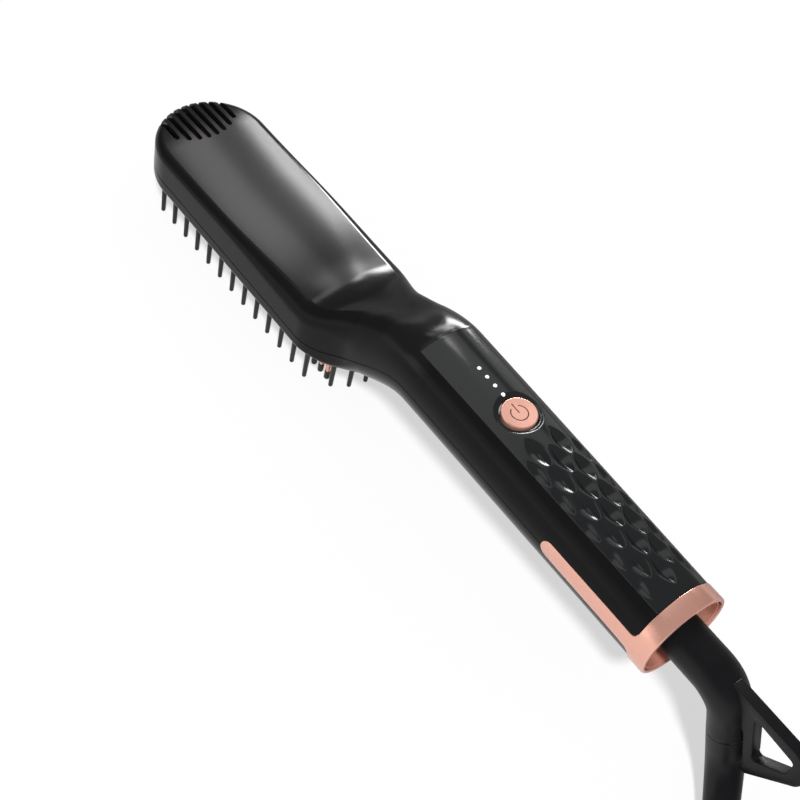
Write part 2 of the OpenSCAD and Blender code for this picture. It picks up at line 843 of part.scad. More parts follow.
module clamp_screws() {
    color("#8e9296") on_comb()
        for (i = [-1:1])
            translate([s_mid + i * post_at, 0, 0]) {
                translate([0, 0, z_plate + tapping_at + seat])
                    cylinder(h = z_clamp + clamp_h - z_plate - tapping_at - seat, d = clamp_screw_d,
                        $fn = 32);
                translate([0, 0, z_clamp + clamp_h])
                    cylinder(h = clamp_head_h, d = clamp_head_d, $fn = 32);
            }
}

module heat_shield() {
    half = post_at + post_d / 2 + 1;
    color("#b9bdc1") on_comb() difference() {
        translate([s_mid - half, -shield_w / 2, z_heater])
            cube([2 * half, shield_w, z_shield - z_heater + shield_t]);
        translate([s_mid - half - 1, -shield_w / 2 + shield_t, z_heater - 1])
            cube([2 * half + 2, shield_w - 2 * shield_t, z_shield - z_heater + 1]);
    }
}

module temperature_sensor() {
    color("#2c2c2e") on_comb()
        translate([s_mid + sensor_at, beside_shield, z_heater]) {
            cylinder(h = sensor_h, d = sensor_d, $fn = 32);
            translate([0, 0, sensor_h])
                intersection() {
                    sphere(d = sensor_d, $fn = 32);
                    translate([-sensor_d, -sensor_d, 0])
                        cube(2 * sensor_d);
                }
        }
}

module thermal_fuse() {
    color("#c9ccd0") on_comb()
        translate([s_mid + thermal_fuse_at, -beside_shield, z_heater + thermal_fuse_d / 2])
            rotate([0, 90, 0])
                cylinder(h = thermal_fuse_len, d = thermal_fuse_d, $fn = 32);
}

// Leads run through the neck to the front edge of the board
module lead(points, d) {
    sweep(points, [for (p = points) d / 2], 8, [0, 1, 0.05]);
}

function neck_run(y) = concat(
    [for (i = [0:3]) [neck_at(lead_places[i]), y, part_z(neck_at(lead_places[i])) + lead_rises[i]]],
    [[s_grip + 2, y, board_z + board_h / 2], [s_board, y, board_z + board_h / 2]]);

module heater_leads() {
    rise = z_heater + heater_h / 2;
    color("#b03a2e") on_comb()
        for (y = [-1, 1])
            lead(concat([[s_mid + post_at + post_d + 0.1, y * 2.8, rise],
                [s_neck + leads_gather, y * 3.2, rise]], neck_run(y * lead_y)), lead_d);
}

module sensor_leads() {
    sensor_end = [s_mid + sensor_at + sensor_d / 2, beside_shield, z_heater + sensor_h / 2];
    fuse_end = [s_mid + thermal_fuse_at + thermal_fuse_len, -beside_shield, z_heater + thermal_fuse_d / 2];
    rise = z_heater + sensor_h;
    color("#d8d8d8") on_comb()
        for (end = [sensor_end, fuse_end])
            let (side = sign(end[1]))
                lead(concat([end, [s_mid + post_at, side * beside_shield, rise],
                    [s_neck + leads_gather, side * 7, rise]], neck_run(side * sensor_lead_y)), sensor_lead_d);
}

module shell_screws() {
    color("#8e9296") on_comb()
        for (s = boss_at)
            translate([s, 0, handle_rise + boss_seat]) {
                cylinder(h = shell_screw_head_h, d = shell_screw_head_d, $fn = 32);
                translate([0, 0, -shell_screw_len])
                    cylinder(h = shell_screw_len, d = shell_screw_d, $fn = 32);
            }
}

module swivel_bush() {
    color("#d9d4c4") on_comb() difference() {
        bar(s_spigot, s_ring - s_spigot, bush_r);
        bar(s_spigot - 1, s_ring - s_spigot + 2, stem_r + running);
    }
}

// Two sprung strips from the board, one beside each slip ring
module contact_brushes() {
    s_foot = s_board_end - brush_foot;
    y_on = slip_r + running;
    y_off = slip_r + brush_off;
    color("#c9a24b") on_comb()
        translate([0, 0, board_z - brush_w]) {
            linear_extrude(brush_w)
                translate([s_foot, y_on])
                    square([slip_at[0] + slip_h - s_foot, brush_t]);
            linear_extrude(brush_w)
                polygon([[s_foot, -y_off], [slip_at[1] - brush_bend, -y_off], [slip_at[1], -y_on],
                    [slip_at[1] + slip_h, -y_on], [slip_at[1] + slip_h, -y_on - brush_t],
                    [slip_at[1] - 0.1, -y_on - brush_t], [slip_at[1] - brush_bend - 0.1, -y_off - brush_t],
                    [s_foot, -y_off - brush_t]]);
        }
}

module power_button() {
    color("#c89487") on_comb()
        translate([s_button, 0, 0]) difference() {
            union() {
                translate([0, 0, z_button_ears])
                    cylinder(h = button_top - 0.4 - z_button_ears, d = button_d);
                translate([0, 0, button_top - 0.4])
                    cylinder(h = 0.4, d1 = button_d, d2 = button_d - 0.8);
                translate([0, 0, z_button_ears])
                    intersection() {
                        cylinder(h = button_ear_h, d = button_hole_d + 2 * button_ear);
                        translate([0, 0, button_ear_h / 2])
                            cube([2 * button_d, button_ear_w, button_ear_h], center = true);
                    }
            }
            power_mark();
            translate([-s_button, 0, 0])
                light_holes(light_d + 2 * free);
        }
}

// The engraved mark: an open ring with a bar through its gap
module power_mark() {
    translate([0, 0, button_top - mark_h]) {
        rotate([0, 0, 180 + mark_gap / 2])
            rotate_extrude(angle = 360 - mark_gap)
                translate([mark_r - mark_w / 2, 0])
                    square([mark_w, 1]);
        translate([-mark_reach, -mark_w / 2, 0])
            cube([mark_reach, mark_w, 1]);
    }
}

module switch_plunger() {
    color("#1d1d1f") on_comb()
        translate([s_button, 0, board_top + switch_h - plunger_in])
            cylinder(h = z_button_ears - board_top - switch_h + plunger_in, d = plunger_d);
}

// The loop stands in the XZ plane behind the bend, its inner side just clear of the strain relief
module loop_outline() {
    reach = [loop_reach - loop_r, loop_top - loop_r];
    side = [-down[2], down[0]];
    along = [down[0], down[2]];
    clear = boot_d / 2 + loop_boot_gap;
    foot = along * (elbow_out + loop_foot) + side * (clear + loop_foot_r);
    polygon(concat([[0, 0], [0, loop_top]],
        [for (a = [90:-12:-48]) reach + loop_r * [cos(a), sin(a)]],
        [for (a = [-48:-24:-216]) foot + loop_foot_r * [cos(a), sin(a)]],
        [along * (elbow_out - loop_root) + side * clear]));
}

module loop_window() {
    reach = [loop_reach - loop_r, loop_top - loop_r];
    side = [-down[2], down[0]];
    along = [down[0], down[2]];
    r = 1;
    inner = boot_d / 2 + loop_boot_gap + loop_web;
    top = loop_top - loop_bar;
    corners = [[along[0] / along[1] * (top - r) + inner / side[0] + r, top - r],
        reach + [loop_r - loop_side - r, window_end[0]],
        reach + [loop_r - loop_side - r, window_end[1]],
        along * (elbow_out + window_foot) + side * (inner + r)];
    starts = [171, 90, 0, -48];
    ends = [90, 0, -48, -189];
    polygon([for (i = [0:3], k = [0:3])
        let (a = mix(starts[i], ends[i], k / 3))
        corners[i] + r * [cos(a), sin(a)]]);
}

// The turned stem, back from the bend: collar in the end ring, groove for the retaining ring and
// tail for the slip rings
module stem_profile() {
    s_bent = s_bend - bend_reach;
    tail = s_tail - s_bent;
    clip = s_clip - s_bent;
    collar = s_bulkhead + collar_fit - s_bent;
    polygon([[0, tail], [tail_r, tail], [tail_r, clip - shoulder_h], [stem_r, clip - shoulder_h],
        [stem_r, clip], [stem_r - clip_groove, clip], [stem_r - clip_groove, clip + clip_h],
        [stem_r, clip + clip_h], [stem_r, collar], [collar_r, collar],
        [collar_r, collar + collar_h], [stem_r, collar + collar_h], [stem_r, 0], [0, 0]]);
}

module swivel_elbow() {
    color("#1f1f20") on_comb() difference() {
        union() {
            translate([s_bend, 0, handle_rise]) {
                translate([-bend_reach, 0, 0])
                    rotate([0, 90, 0])
                        rotate_extrude()
                            stem_profile();
                translate([-bend_reach, 0, -elbow_r])
                    rotate([90, -90, 180])
                        rotate_extrude(angle = elbow_angle)
                            translate([elbow_r, 0])
                                circle(stem_r);
                rotate([0, 90 + elbow_angle, 0])
                    translate([0, 0, bend_reach])
                        cylinder(h = elbow_out - bend_reach, r1 = stem_r, r2 = boot_d / 2);
                translate([0, loop_h / 2, 0])
                    rotate([90, 0, 0])
                        linear_extrude(loop_h)
                            loop_outline();
            }
        }
        translate([s_bend, loop_h, handle_rise])
            rotate([90, 0, 0])
                linear_extrude(2 * loop_h)
                    loop_window();
    }
}

module slip_rings() {
    color("#c9a24b") on_comb()
        for (s = slip_at)
            difference() {
                bar(s, slip_h, slip_r);
                bar(s - 1, slip_h + 2, tail_r + 0.02);
            }
}

// An open ring in the stem's groove
module retaining_ring() {
    color("#8e9296") on_comb() difference() {
        bar(s_clip + 0.05, clip_h - 0.1, clip_r);
        bar(s_clip - 1, clip_h + 2, stem_r - clip_groove + seat);
        translate([s_clip - 1, -2, handle_rise - clip_r - 1])
            cube([clip_h + 2, 4, clip_r + 1]);
    }
}

// Points along the strain relief: straight, down in a bend, then sideways along the table
function boot_point(l) =
    let (bend_len = boot_bend_r * boot_drop * PI / 180,
        a = min(max((l - boot_lead) / boot_bend_r, 0) * 180 / PI, boot_drop),
        in = (boot_side - (boot_side * down) * down) / norm(boot_side - (boot_side * down) * down),
        bent = boot_from + min(l, boot_lead) * down
            + boot_bend_r * (sin(a) * down + (1 - cos(a)) * in),
        b = max(l - boot_lead - bend_len, 0) / boot_turn_r * 180 / PI)
    bent + boot_turn_r * [sin(turn_angle) - sin(turn_angle - b), cos(turn_angle) - cos(turn_angle - b), 0];

module cord_boot() {
    bent_len = boot_len - boot_lead;
    lengths = concat([0], [for (i = [0:boot_steps]) boot_lead + bent_len * i / boot_steps]);
    color("#1f1f20") on_comb()
        sweep([for (l = lengths) boot_point(l)],
            [for (l = lengths) mix(boot_d, boot_end_d, l / boot_len) / 2 - 0.01], boot_sides,
            cross(down, boot_side));
}

module power_cord() {
    z = z_table + cord_d / 2 + 0.02;
    points = concat([boot_end], [for (p = cord_route) [p[0], p[1], z + p[2]]]);
    color("#1f1f20") on_comb()
        sweep(points, [for (p = points) cord_d / 2], cord_sides, [0, 0, 1]);
}

// Outline of a bundle with round ends
module racetrack(r) {
    for (s = hank_s)
        translate([s, hank_y])
            circle(r);
    translate([hank_s[0], hank_y - r])
        square([hank_s[1] - hank_s[0], 2 * r]);
}

module cord_hank() {
    color("#1f1f20") on_comb() difference() {
        translate([0, 0, z_table])
            linear_extrude(hank_h)
                difference() {
                    racetrack(hank_r + hank_w);
                    racetrack(hank_r);
                }
        translate([s_tie - tie_w / 2, hank_y - hank_r - hank_w - 1, z_table - 1])
            cube([tie_w, hank_w + 2, 1 + tie_t]);
    }
}

module hank_tie() {
    y = hank_y - hank_r - hank_w;
    color("#3a3a3c") on_comb() difference() {
        translate([s_tie - tie_w / 2, y - tie_t - seat, z_table])
            cube([tie_w, hank_w + 2 * tie_t + 2 * seat, hank_h + tie_t + seat]);
        translate([s_tie - tie_w / 2 - 1, y - seat, z_table + tie_t])
            cube([tie_w + 2, hank_w + 2 * seat, hank_h - tie_t + seat]);
    }
}

module plug_body() {
    z = z_table + hank_h;
    half = plug_w / 2;
    outline = [[0, -plug_neck_w / 2], [plug_taper, -half], [plug_len, -half], [plug_len, half],
        [plug_taper, half], [0, plug_neck_w / 2]];
    color("#1f1f20") on_comb()
        translate([s_plug, hank_y, z]) difference() {
            union() {
                translate([0, 0, plug_edge])
                    linear_extrude(plug_h - 2 * plug_edge)
                        polygon(outline);
                linear_extrude(plug_h)
                    polygon([for (p = outline) [p[0], p[1] * (1 - plug_edge / half)]]);
                translate([-plug_tail, 0, plug_h / 2])
                    rotate([0, 90, 0])
                        cylinder(h = plug_tail, r1 = cord_d / 2 + 0.6, r2 = plug_h / 2 - 0.5);
            }
            for (side = [-1, 1])
                translate([plug_len - pin_root - seat, side * pin_pitch / 2, plug_h / 2])
                    rotate([0, 90, 0])
                        cylinder(h = pin_root + 1, d = pin_root_d + 2 * seat);
        }
}

module plug_pins() {
    shank = pin_len - pin_edge;
    color("#c9ccd0") on_comb()
        for (side = [-1, 1])
            translate([s_plug + plug_len, hank_y + side * pin_pitch / 2, z_table + hank_h + plug_h / 2])
                rotate([0, 90, 0]) {
                    cylinder(h = shank, d = pin_d);
                    translate([0, 0, shank])
                        cylinder(h = pin_edge, d1 = pin_d, d2 = pin_d - 1.4 * pin_edge);
                    translate([0, 0, -pin_root])
                        cylinder(h = pin_root, d = pin_root_d);
                }
}

upper_shell();
lower_shell();
grip_panel();
end_ring();
status_lights();
control_board();
led_chips();
tact_switch();
mains_capacitor();
triac();
board_fuse();
guard_frame();
guard_teeth();
heating_plate();
heated_teeth();
heat_caps();
ceramic_heaters();
insulation_sheet();
heater_clamp();
clamp_screws();
heat_shield();
temperature_sensor();
thermal_fuse();
heater_leads();
sensor_leads();
shell_screws();
swivel_bush();
contact_brushes();
power_button();
switch_plunger();
swivel_elbow();
slip_rings();
retaining_ring();
cord_boot();
power_cord();
cord_hank();
hank_tie();
plug_body();
plug_pins();
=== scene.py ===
import functools
import json
import math
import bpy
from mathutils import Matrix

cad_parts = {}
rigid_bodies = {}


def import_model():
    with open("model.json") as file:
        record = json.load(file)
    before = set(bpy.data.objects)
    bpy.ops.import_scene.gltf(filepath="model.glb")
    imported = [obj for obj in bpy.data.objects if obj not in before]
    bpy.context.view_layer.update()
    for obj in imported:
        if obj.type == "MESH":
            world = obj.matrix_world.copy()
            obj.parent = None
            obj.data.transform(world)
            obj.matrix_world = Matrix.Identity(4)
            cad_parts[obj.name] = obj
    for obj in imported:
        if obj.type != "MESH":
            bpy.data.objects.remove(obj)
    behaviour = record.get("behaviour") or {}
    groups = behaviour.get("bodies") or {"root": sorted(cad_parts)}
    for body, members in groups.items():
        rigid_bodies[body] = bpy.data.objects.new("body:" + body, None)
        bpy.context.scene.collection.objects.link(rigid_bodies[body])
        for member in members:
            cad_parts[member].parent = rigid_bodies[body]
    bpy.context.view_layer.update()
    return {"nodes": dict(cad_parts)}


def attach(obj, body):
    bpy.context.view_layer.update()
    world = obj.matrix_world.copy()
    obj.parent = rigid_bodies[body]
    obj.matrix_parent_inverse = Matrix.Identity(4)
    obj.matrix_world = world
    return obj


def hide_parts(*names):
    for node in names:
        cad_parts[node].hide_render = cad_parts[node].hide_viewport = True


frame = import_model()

from types import SimpleNamespace

import bmesh
import bpy
from mathutils import Matrix, Vector

# Forms are written in mm: s along the comb from the head's tip, y across it, z over the parting line
MM = 0.001
TIP_X = -119.6
PARTING_Z = 15.4


def at(s, y, z):
    """A point of the frame, in metres, from its place on the comb in mm."""
    return Vector(((s + TIP_X) * MM, y * MM, (z + PARTING_Z) * MM))


def on_comb(point):
    """The place on the comb, in mm, of a point of the frame."""
    return point.x / MM - TIP_X, point.y / MM, point.z / MM - PARTING_Z


def clip(x, low=0.0, high=1.0):
    return max(low, min(high, x))


def ease(x, start, end):
    """From 0 at start to 1 at end, level at both."""
    t = clip((x - start) / (end - start))
    return t * t * (3 - 2 * t)


def mix(a, b, t):
    return a + (b - a) * t


def arc(start, end, count):
    """Angles in radians, in equal steps between two angles in degrees."""
    return [math.radians(start + (end - start) * k / count) for k in range(count + 1)]


# -------------------- the camera
FRAME_PX, FOCAL_PX, SENSOR_MM = 800, 1571.58, 36
CAMERA_MM = Vector((146.318, -190.884, 321.82))
VIEW_RIGHT = Vector((0.60283, 0.78116, 0.16240))
VIEW_DOWN = Vector((0.68805, -0.40592, -0.60151))
VIEW_AHEAD = Vector((-0.40395, 0.47435, -0.78219))

camera = bpy.data.objects.new("camera", bpy.data.cameras.new("camera"))
bpy.context.scene.collection.objects.link(camera)
bpy.context.scene.camera = camera
facing = Matrix((VIEW_RIGHT, -VIEW_DOWN, -VIEW_AHEAD)).transposed().to_4x4()
camera.matrix_world = Matrix.Translation(CAMERA_MM * MM) @ facing
camera.data.sensor_width = SENSOR_MM
camera.data.lens = FOCAL_PX / FRAME_PX * SENSOR_MM
camera.data.clip_start = 10 * MM
bpy.context.scene.view_settings.view_transform = "Standard"


# -------------------- finishes
def linear(code):
    """An sRGB hex value as a linear colour."""
    parts = [int(code[i:i + 2], 16) / 255 for i in (1, 3, 5)]
    return [p / 12.92 if p <= 0.04045 else ((p + 0.055) / 1.055) ** 2.4 for p in parts] + [1]


def bare_tree(owner):
    """The emptied node tree of a material or a world."""
    owner.use_nodes = True
    owner.node_tree.nodes.clear()
    return owner.node_tree


def add(tree, kind, inputs, **settings):
    """A node with its settings; an input is a value, or another node's output."""
    made = tree.nodes.new(kind)
    for name, value in settings.items():
        setattr(made, name, value)
    for name, value in inputs.items():
        if isinstance(value, bpy.types.NodeSocket):
            tree.links.new(value, made.inputs[name])
        else:
            made.inputs[name].default_value = value
    return made


def per_mm(size):
    """A noise scale whose features are about this many millimetres across."""
    return 1 / MM / size


def finish(name, low, high, cloud, rough, grain, height, metallic=0.0, stretch=(1, 1, 1),
           coat=None, **more):
    """A principled surface: two close tones in soft clouds, a roughness that wanders between two
    values, and a fine grain in relief. cloud, grain and height are sizes in mm.
    coat, as (attribute, colour, roughness, specular level), is another finish where a vertex
    attribute is 1."""
    made = bpy.data.materials.new(name)
    tree = bare_tree(made)
    where = add(tree, "ShaderNodeTexCoord", {}).outputs["Object"]
    laid = add(tree, "ShaderNodeMapping", {"Vector": where, "Scale": stretch}).outputs["Vector"]
    tone = add(tree, "ShaderNodeTexNoise",
               {"Vector": laid, "Scale": per_mm(cloud), "Detail": 3.0}).outputs["Fac"]
    fine = add(tree, "ShaderNodeTexNoise",
               {"Vector": laid, "Scale": per_mm(grain), "Detail": 2.0}).outputs["Fac"]
    colour = add(tree, "ShaderNodeMix", {"Factor": tone, "A": linear(low), "B": linear(high)},
                 data_type="RGBA").outputs["Result"]
    gloss = add(tree, "ShaderNodeMapRange", {"Value": tone, "From Min": 0.3, "From Max": 0.7,
                                             "To Min": rough[0], "To Max": rough[1]}).outputs["Result"]
    relief = add(tree, "ShaderNodeBump", {"Height": fine, "Distance": height * MM, "Strength": 1.0})
    if coat:
        attribute, coat_colour, coat_rough, coat_level = coat
        share = add(tree, "ShaderNodeAttribute", {}, attribute_name=attribute).outputs["Fac"]
        colour = add(tree, "ShaderNodeMix", {"Factor": share, "A": colour, "B": linear(coat_colour)},
                     data_type="RGBA").outputs["Result"]
        gloss = add(tree, "ShaderNodeMapRange",
                    {"Value": share, "To Min": gloss, "To Max": coat_rough}).outputs["Result"]
        level = add(tree, "ShaderNodeMapRange", {"Value": share, "To Min": more["Specular IOR Level"],
                                                 "To Max": coat_level}).outputs["Result"]
        more = {**more, "Specular IOR Level": level}
    surface = add(tree, "ShaderNodeBsdfPrincipled", {
        "Base Color": colour, "Metallic": metallic, "Roughness": gloss,
        "Normal": relief.outputs["Normal"], **more})
    add(tree, "ShaderNodeOutputMaterial", {"Surface": surface.outputs["BSDF"]})
    return made


# Moulded ABS from a finely etched tool: near black, with a broad soft shine. The lid has a satin lacquer,
# which mirrors lamps more brightly and with soft edges
shell_abs = finish("moulded_black_abs", "#131314", "#161617", 14, (0.2, 0.24), 0.25, 0.004,
                   coat=("satin", "#161617", 0.145, 0.5), **{"Specular IOR Level": 0.08})
# The grip panel is moulded in a polished tool: black with crisp small highlights. Its base colour is a
# little lighter than the shell's black, as painted light: it stands in for the grey that the panel's top
# mirrors above the darker sides
gloss_panel = finish("polished_black_abs", "#1b1c1d", "#1f2021", 16, (0.13, 0.17), 0.5, 0.001,
                     **{"Specular IOR Level": 0.36})
# The teeth's glass-filled nylon: black, a little rough
tooth_nylon = finish("moulded_black_nylon", "#0c0c0d", "#121213", 5, (0.28, 0.36), 0.2, 0.006,
                     **{"Specular IOR Level": 0.3})
# Rose-gold metallic lacquer over a smooth moulding: warm pink, more metal than pigment, softly blurred
rose_plate = finish("rose_gold_lacquer", "#edb19e", "#f1b7a5", 9, (0.22, 0.28), 0.3, 0.002, 0.65)
# Turned and anodised aluminium: rose, satin, with a fine grain
rose_anodised = finish("anodised_rose_aluminium", "#d79f8c", "#dfaa98", 3, (0.3, 0.38), 0.2, 0.004, 1.0)
# The mark in the button: its engraved ground is burnt dark brown
burnt_mark = finish("burnt_engraving", "#4a2a22", "#5c362c", 1, (0.5, 0.6), 0.1, 0.004)
# White light guides of frosted acrylic, faintly lit from inside
frosted = finish("frosted_white_acrylic", "#f4f4f2", "#ffffff", 1, (0.35, 0.45), 0.1, 0.002,
                 **{"Emission Color": (1, 1, 1, 1), "Emission Strength": 0.35})
# Etched black plastic of the cord's elbow: satin, softer than the shell
cord_abs = finish("etched_black_elbow", "#111113", "#151517", 8, (0.36, 0.44), 0.2, 0.006,
                  **{"Specular IOR Level": 0.22})
# Black PVC of the cord: slightly dull, with a faint unevenness
cord_pvc = finish("black_pvc", "#161617", "#1f1f20", 6, (0.42, 0.52), 0.4, 0.012)
# Nickel on the plug's pins: bright, faintly yellow
pin_nickel = finish("bright_nickel_plate", "#c9c6bd", "#d8d5cd", 2, (0.18, 0.26), 0.15, 0.002, 1.0)
# Zinc-plated steel of screws and clips: pale blue grey, mottled
zinc_steel = finish("zinc_plated_steel", "#9fa4a8", "#bcc1c5", 1.2, (0.3, 0.42), 0.2, 0.004, 1.0)
# Rolled spring brass: yellow, with fine rolling lines
rolled_brass = finish("rolled_brass", "#b8923f", "#cfa955", 2, (0.25, 0.36), 0.15, 0.003, 1.0, (1, 6, 6))
# Fired alumina of the heaters: chalky white with faint grey specks
fired_alumina = finish("fired_alumina", "#dcdad3", "#eceae5", 0.8, (0.6, 0.75), 0.15, 0.01)
# Mica sheet: brownish silver, layered and faintly glassy
pressed_mica = finish("pressed_mica", "#8d7c5e", "#b7a888", 2, (0.3, 0.5), 0.6, 0.01)
# The board's solder mask: deep green over glass cloth
solder_mask = finish("green_solder_mask", "#0c3d22", "#12502e", 4, (0.25, 0.35), 0.4, 0.004)
# Epoxy-cased parts on the board: dull dark grey
epoxy_case = finish("dark_epoxy_case", "#232325", "#2e2e31", 2, (0.45, 0.6), 0.15, 0.006)
# The suppressor capacitor's yellow flame-retardant box
yellow_box = finish("yellow_polyester_box", "#c9a21c", "#d8b22c", 3, (0.35, 0.45), 0.2, 0.004)
# Natural acetal of the bush: waxy off-white
waxy_acetal = finish("natural_acetal", "#d6d3c8", "#e2dfd5", 4, (0.35, 0.45), 0.3, 0.004)
# Silicone-sheathed leads, red and white: soft sheen, slightly chalky
red_silicone = finish("red_silicone_sheath", "#9c1d1a", "#b42a24", 3, (0.45, 0.55), 0.3, 0.006)
white_silicone = finish("white_silicone_sheath", "#d5d3ce", "#e4e2de", 3, (0.45, 0.55), 0.3, 0.006)
# Black nylon hook-and-loop tie: very rough and fuzzy
tie_nylon = finish("woven_black_tie", "#1c1c1e", "#2a2a2c", 0.8, (0.7, 0.85), 0.5, 0.12)

SLOT_FINISH = {
    "shell_black": shell_abs, "panel_black": gloss_panel, "comb_black": tooth_nylon,
    "rose_gold": rose_plate, "rose_aluminium": rose_anodised, "light_white": frosted,
    "circuit_board": solder_mask, "component_dark": epoxy_case, "component_yellow": yellow_box,
    "ceramic": fired_alumina, "mica": pressed_mica, "steel": zinc_steel, "brass": rolled_brass,
    "bush_plastic": waxy_acetal, "lead_red": red_silicone, "lead_white": white_silicone,
    "cord_black": cord_pvc, "tie_black": tie_nylon, "pin_nickel": pin_nickel,
}
for piece in frame["nodes"].values():
    for slot in piece.material_slots:
        plain = slot.material.name.split(".")[0] if slot.material else ""
        if plain in SLOT_FINISH:
            slot.material = SLOT_FINISH[plain]


# -------------------- making by hand
def deselect():
    if bpy.context.object and bpy.context.object.mode != "OBJECT":
        bpy.ops.object.mode_set(mode="OBJECT")
    for other in bpy.context.view_layer.objects:
        other.select_set(False)


def work_on(piece):
    deselect()
    piece.select_set(True)
    bpy.context.view_layer.objects.active = piece


def editing(piece):
    """Into edit mode, with all of the piece selected."""
    work_on(piece)
    bpy.ops.object.mode_set(mode="EDIT")
    bpy.ops.mesh.select_all(action="SELECT")


def outwards():
    """In edit mode: all faces point outwards, and the piece is left for object mode."""
    bpy.ops.mesh.select_all(action="SELECT")
    bpy.ops.mesh.normals_make_consistent(inside=False)
    bpy.ops.object.mode_set(mode="OBJECT")


def settle(piece):
    """The piece's place goes into its mesh."""
    work_on(piece)
    bpy.ops.object.transform_apply(location=True, rotation=True, scale=True)


def apply_modifier(piece, kind, **settings):
    made = piece.modifiers.new(kind.lower(), kind)
    for name, value in settings.items():
        setattr(made, name, value)
    work_on(piece)
    bpy.ops.object.modifier_apply(modifier=made.name)


def bevel(piece, width, segments):
    """Rounds the piece's sharp edges."""
    apply_modifier(piece, "BEVEL", width=width * MM, segments=segments, limit_method="ANGLE",
                   angle_limit=math.radians(50))


def smooth(piece, angle=32):
    work_on(piece)
    bpy.ops.object.shade_smooth_by_angle(angle=math.radians(angle))


def stands_for(piece, body, material, slot, *nodes):
    """The piece gets its material, rides on its body and replaces CAD nodes."""
    piece.data.materials.clear()
    piece.data.materials.append(material)
    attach(piece, body)
    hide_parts(*nodes)


def walled_skin(name, along, across, outer, inner):
    """A grid bent to the outer skin, given a wall whose inside is then bent to the inner skin.
    u runs along the grid and v across it, both from 0 to 1."""
    deselect()
    bpy.ops.mesh.primitive_grid_add(x_subdivisions=along, y_subdivisions=across, size=1)
    piece = bpy.context.object
    piece.name = name
    places = [(v.co.x + 0.5, v.co.y + 0.5) for v in piece.data.vertices]
    # Any thickness will do, because the inside is bent next
    apply_modifier(piece, "SOLIDIFY", thickness=0.1, offset=-1)
    count = len(places)
    for i, vertex in enumerate(piece.data.vertices):
        u, v = places[i % count]
        vertex.co = outer(u, v) if i < count else inner(u, v)
    return piece, places


def close_up(piece):
    """Merges a skin's doubled vertices and points its faces outwards."""
    editing(piece)
    bpy.ops.mesh.remove_doubles(threshold=0.002 * MM)
    outwards()


def solid_of(name, outline, depth):
    """A flat outline of points, drawn out by depth: the start of cutters and plates."""
    deselect()
    bpy.ops.mesh.primitive_circle_add(vertices=len(outline), fill_type="NGON")
    piece = bpy.context.object
    piece.name = name
    settle(piece)
    for vertex, point in zip(piece.data.vertices, outline):
        vertex.co = point
    editing(piece)
    bpy.ops.mesh.extrude_region_move(TRANSFORM_OT_translate={"value": depth})
    outwards()
    return piece


def joined(name, pieces):
    deselect()
    for piece in pieces:
        piece.select_set(True)
    bpy.context.view_layer.objects.active = pieces[0]
    bpy.ops.object.join()
    pieces[0].name = name
    return pieces[0]


def cut_with(piece, cutters, operation="DIFFERENCE"):
    """Takes the cutters out of a piece, one at a time, and throws them away."""
    for cutter in cutters:
        apply_modifier(piece, "BOOLEAN", operation=operation, object=cutter, solver="MANIFOLD")
        bpy.data.objects.remove(cutter)


def turned(name, outline, centre, axis, steps=160):
    """A closed outline of (place along the axis, radius) points, spun once round the axis."""
    axis = Vector(axis)
    across = axis.orthogonal().normalized()
    deselect()
    bpy.ops.mesh.primitive_circle_add(vertices=len(outline), fill_type="NOTHING")
    piece = bpy.context.object
    piece.name = name
    settle(piece)
    for vertex, (along, r) in zip(piece.data.vertices, outline):
        vertex.co = centre + (along * axis + r * across) * MM
    editing(piece)
    bpy.ops.mesh.spin(steps=steps, angle=2 * math.pi, center=centre, axis=axis)
    bpy.ops.mesh.select_all(action="SELECT")
    bpy.ops.mesh.remove_doubles(threshold=0.0005 * MM)
    outwards()
    return piece


def rounded(corners, steps=5):
    """A closed outline from corners (x, y, radius), each rounded by its own radius."""
    points = []
    for i, (x, y, r) in enumerate(corners):
        if r == 0:
            points.append((x, y))
            continue
        here = Vector((x, y))
        before = (Vector(corners[i - 1][:2]) - here).normalized()
        after = (Vector(corners[(i + 1) % len(corners)][:2]) - here).normalized()
        half = before.angle(after) / 2
        middle = here + (before + after).normalized() * (r / math.sin(half))
        first = here + before * (r / math.tan(half)) - middle
        last = here + after * (r / math.tan(half)) - middle
        for k in range(steps + 1):
            points.append(tuple(middle + first.lerp(last, k / steps).normalized() * r))
    return points


# -------------------- the body's sections
# Half the head's width, the depth of its rim, and the shells' wall
HALF_W, RIM, WALL = 16.0, 4.0, 1.8
# Places along the comb: middle of the round tip, end of the straight head, the grip and the end ring
S_TIP, S_NECK, S_GRIP, S_RING = 16.0, 77.0, 114.0, 195.0
# The handle: its axis' height, half its width, its bottom, and its top at the grip and at the ring
RISE, GRIP_HALF_W, GRIP_LOW, GRIP_TOP, RING_TOP = 15.8, 11.8, 4.0, 28.0, 27.7
# The lid: its height at the tip and what it rises by. It is level up to a place, curves up over a
# length and climbs evenly over another
LID_TOP, LID_RISE, LID_LEVEL, LID_CURVE, LID_CLIMB = 9.65, 2.25, 13, 24, 55
# Between which places along the neck its sides narrow, its parting line, top and bottom rise, and its
# upper and lower corners grow round
NARROWS, PART_RISES = (77.6, 92.6), (81.7, 113.8)
TOP_RISES, LOW_RISES = (80.9, 113.69), (90.93, 112.07)
ROUNDS, UNDER_ROUNDS = (82, 102.27), (84.89, 97.01)
# The foot of the climb is softened between these places, over this many steps to each side
FOOT_IN, FOOT_OUT, FOOT_STEPS, FOOT_STEP = (69, 76), (86, 97), 6, 0.7
# The head's upper corners: their size at the tip and before the neck, and where they grow
CORNER_TIP, CORNER_NECK, CORNERS_GROW = 2.1, 3.9, (40, 84)
# Their arc stops at an angle and is drawn larger for it; and what a corner leaves flat
CORNER_STOPS, CORNER_DRAWN, FLAT = 66, 1.6, 0.15
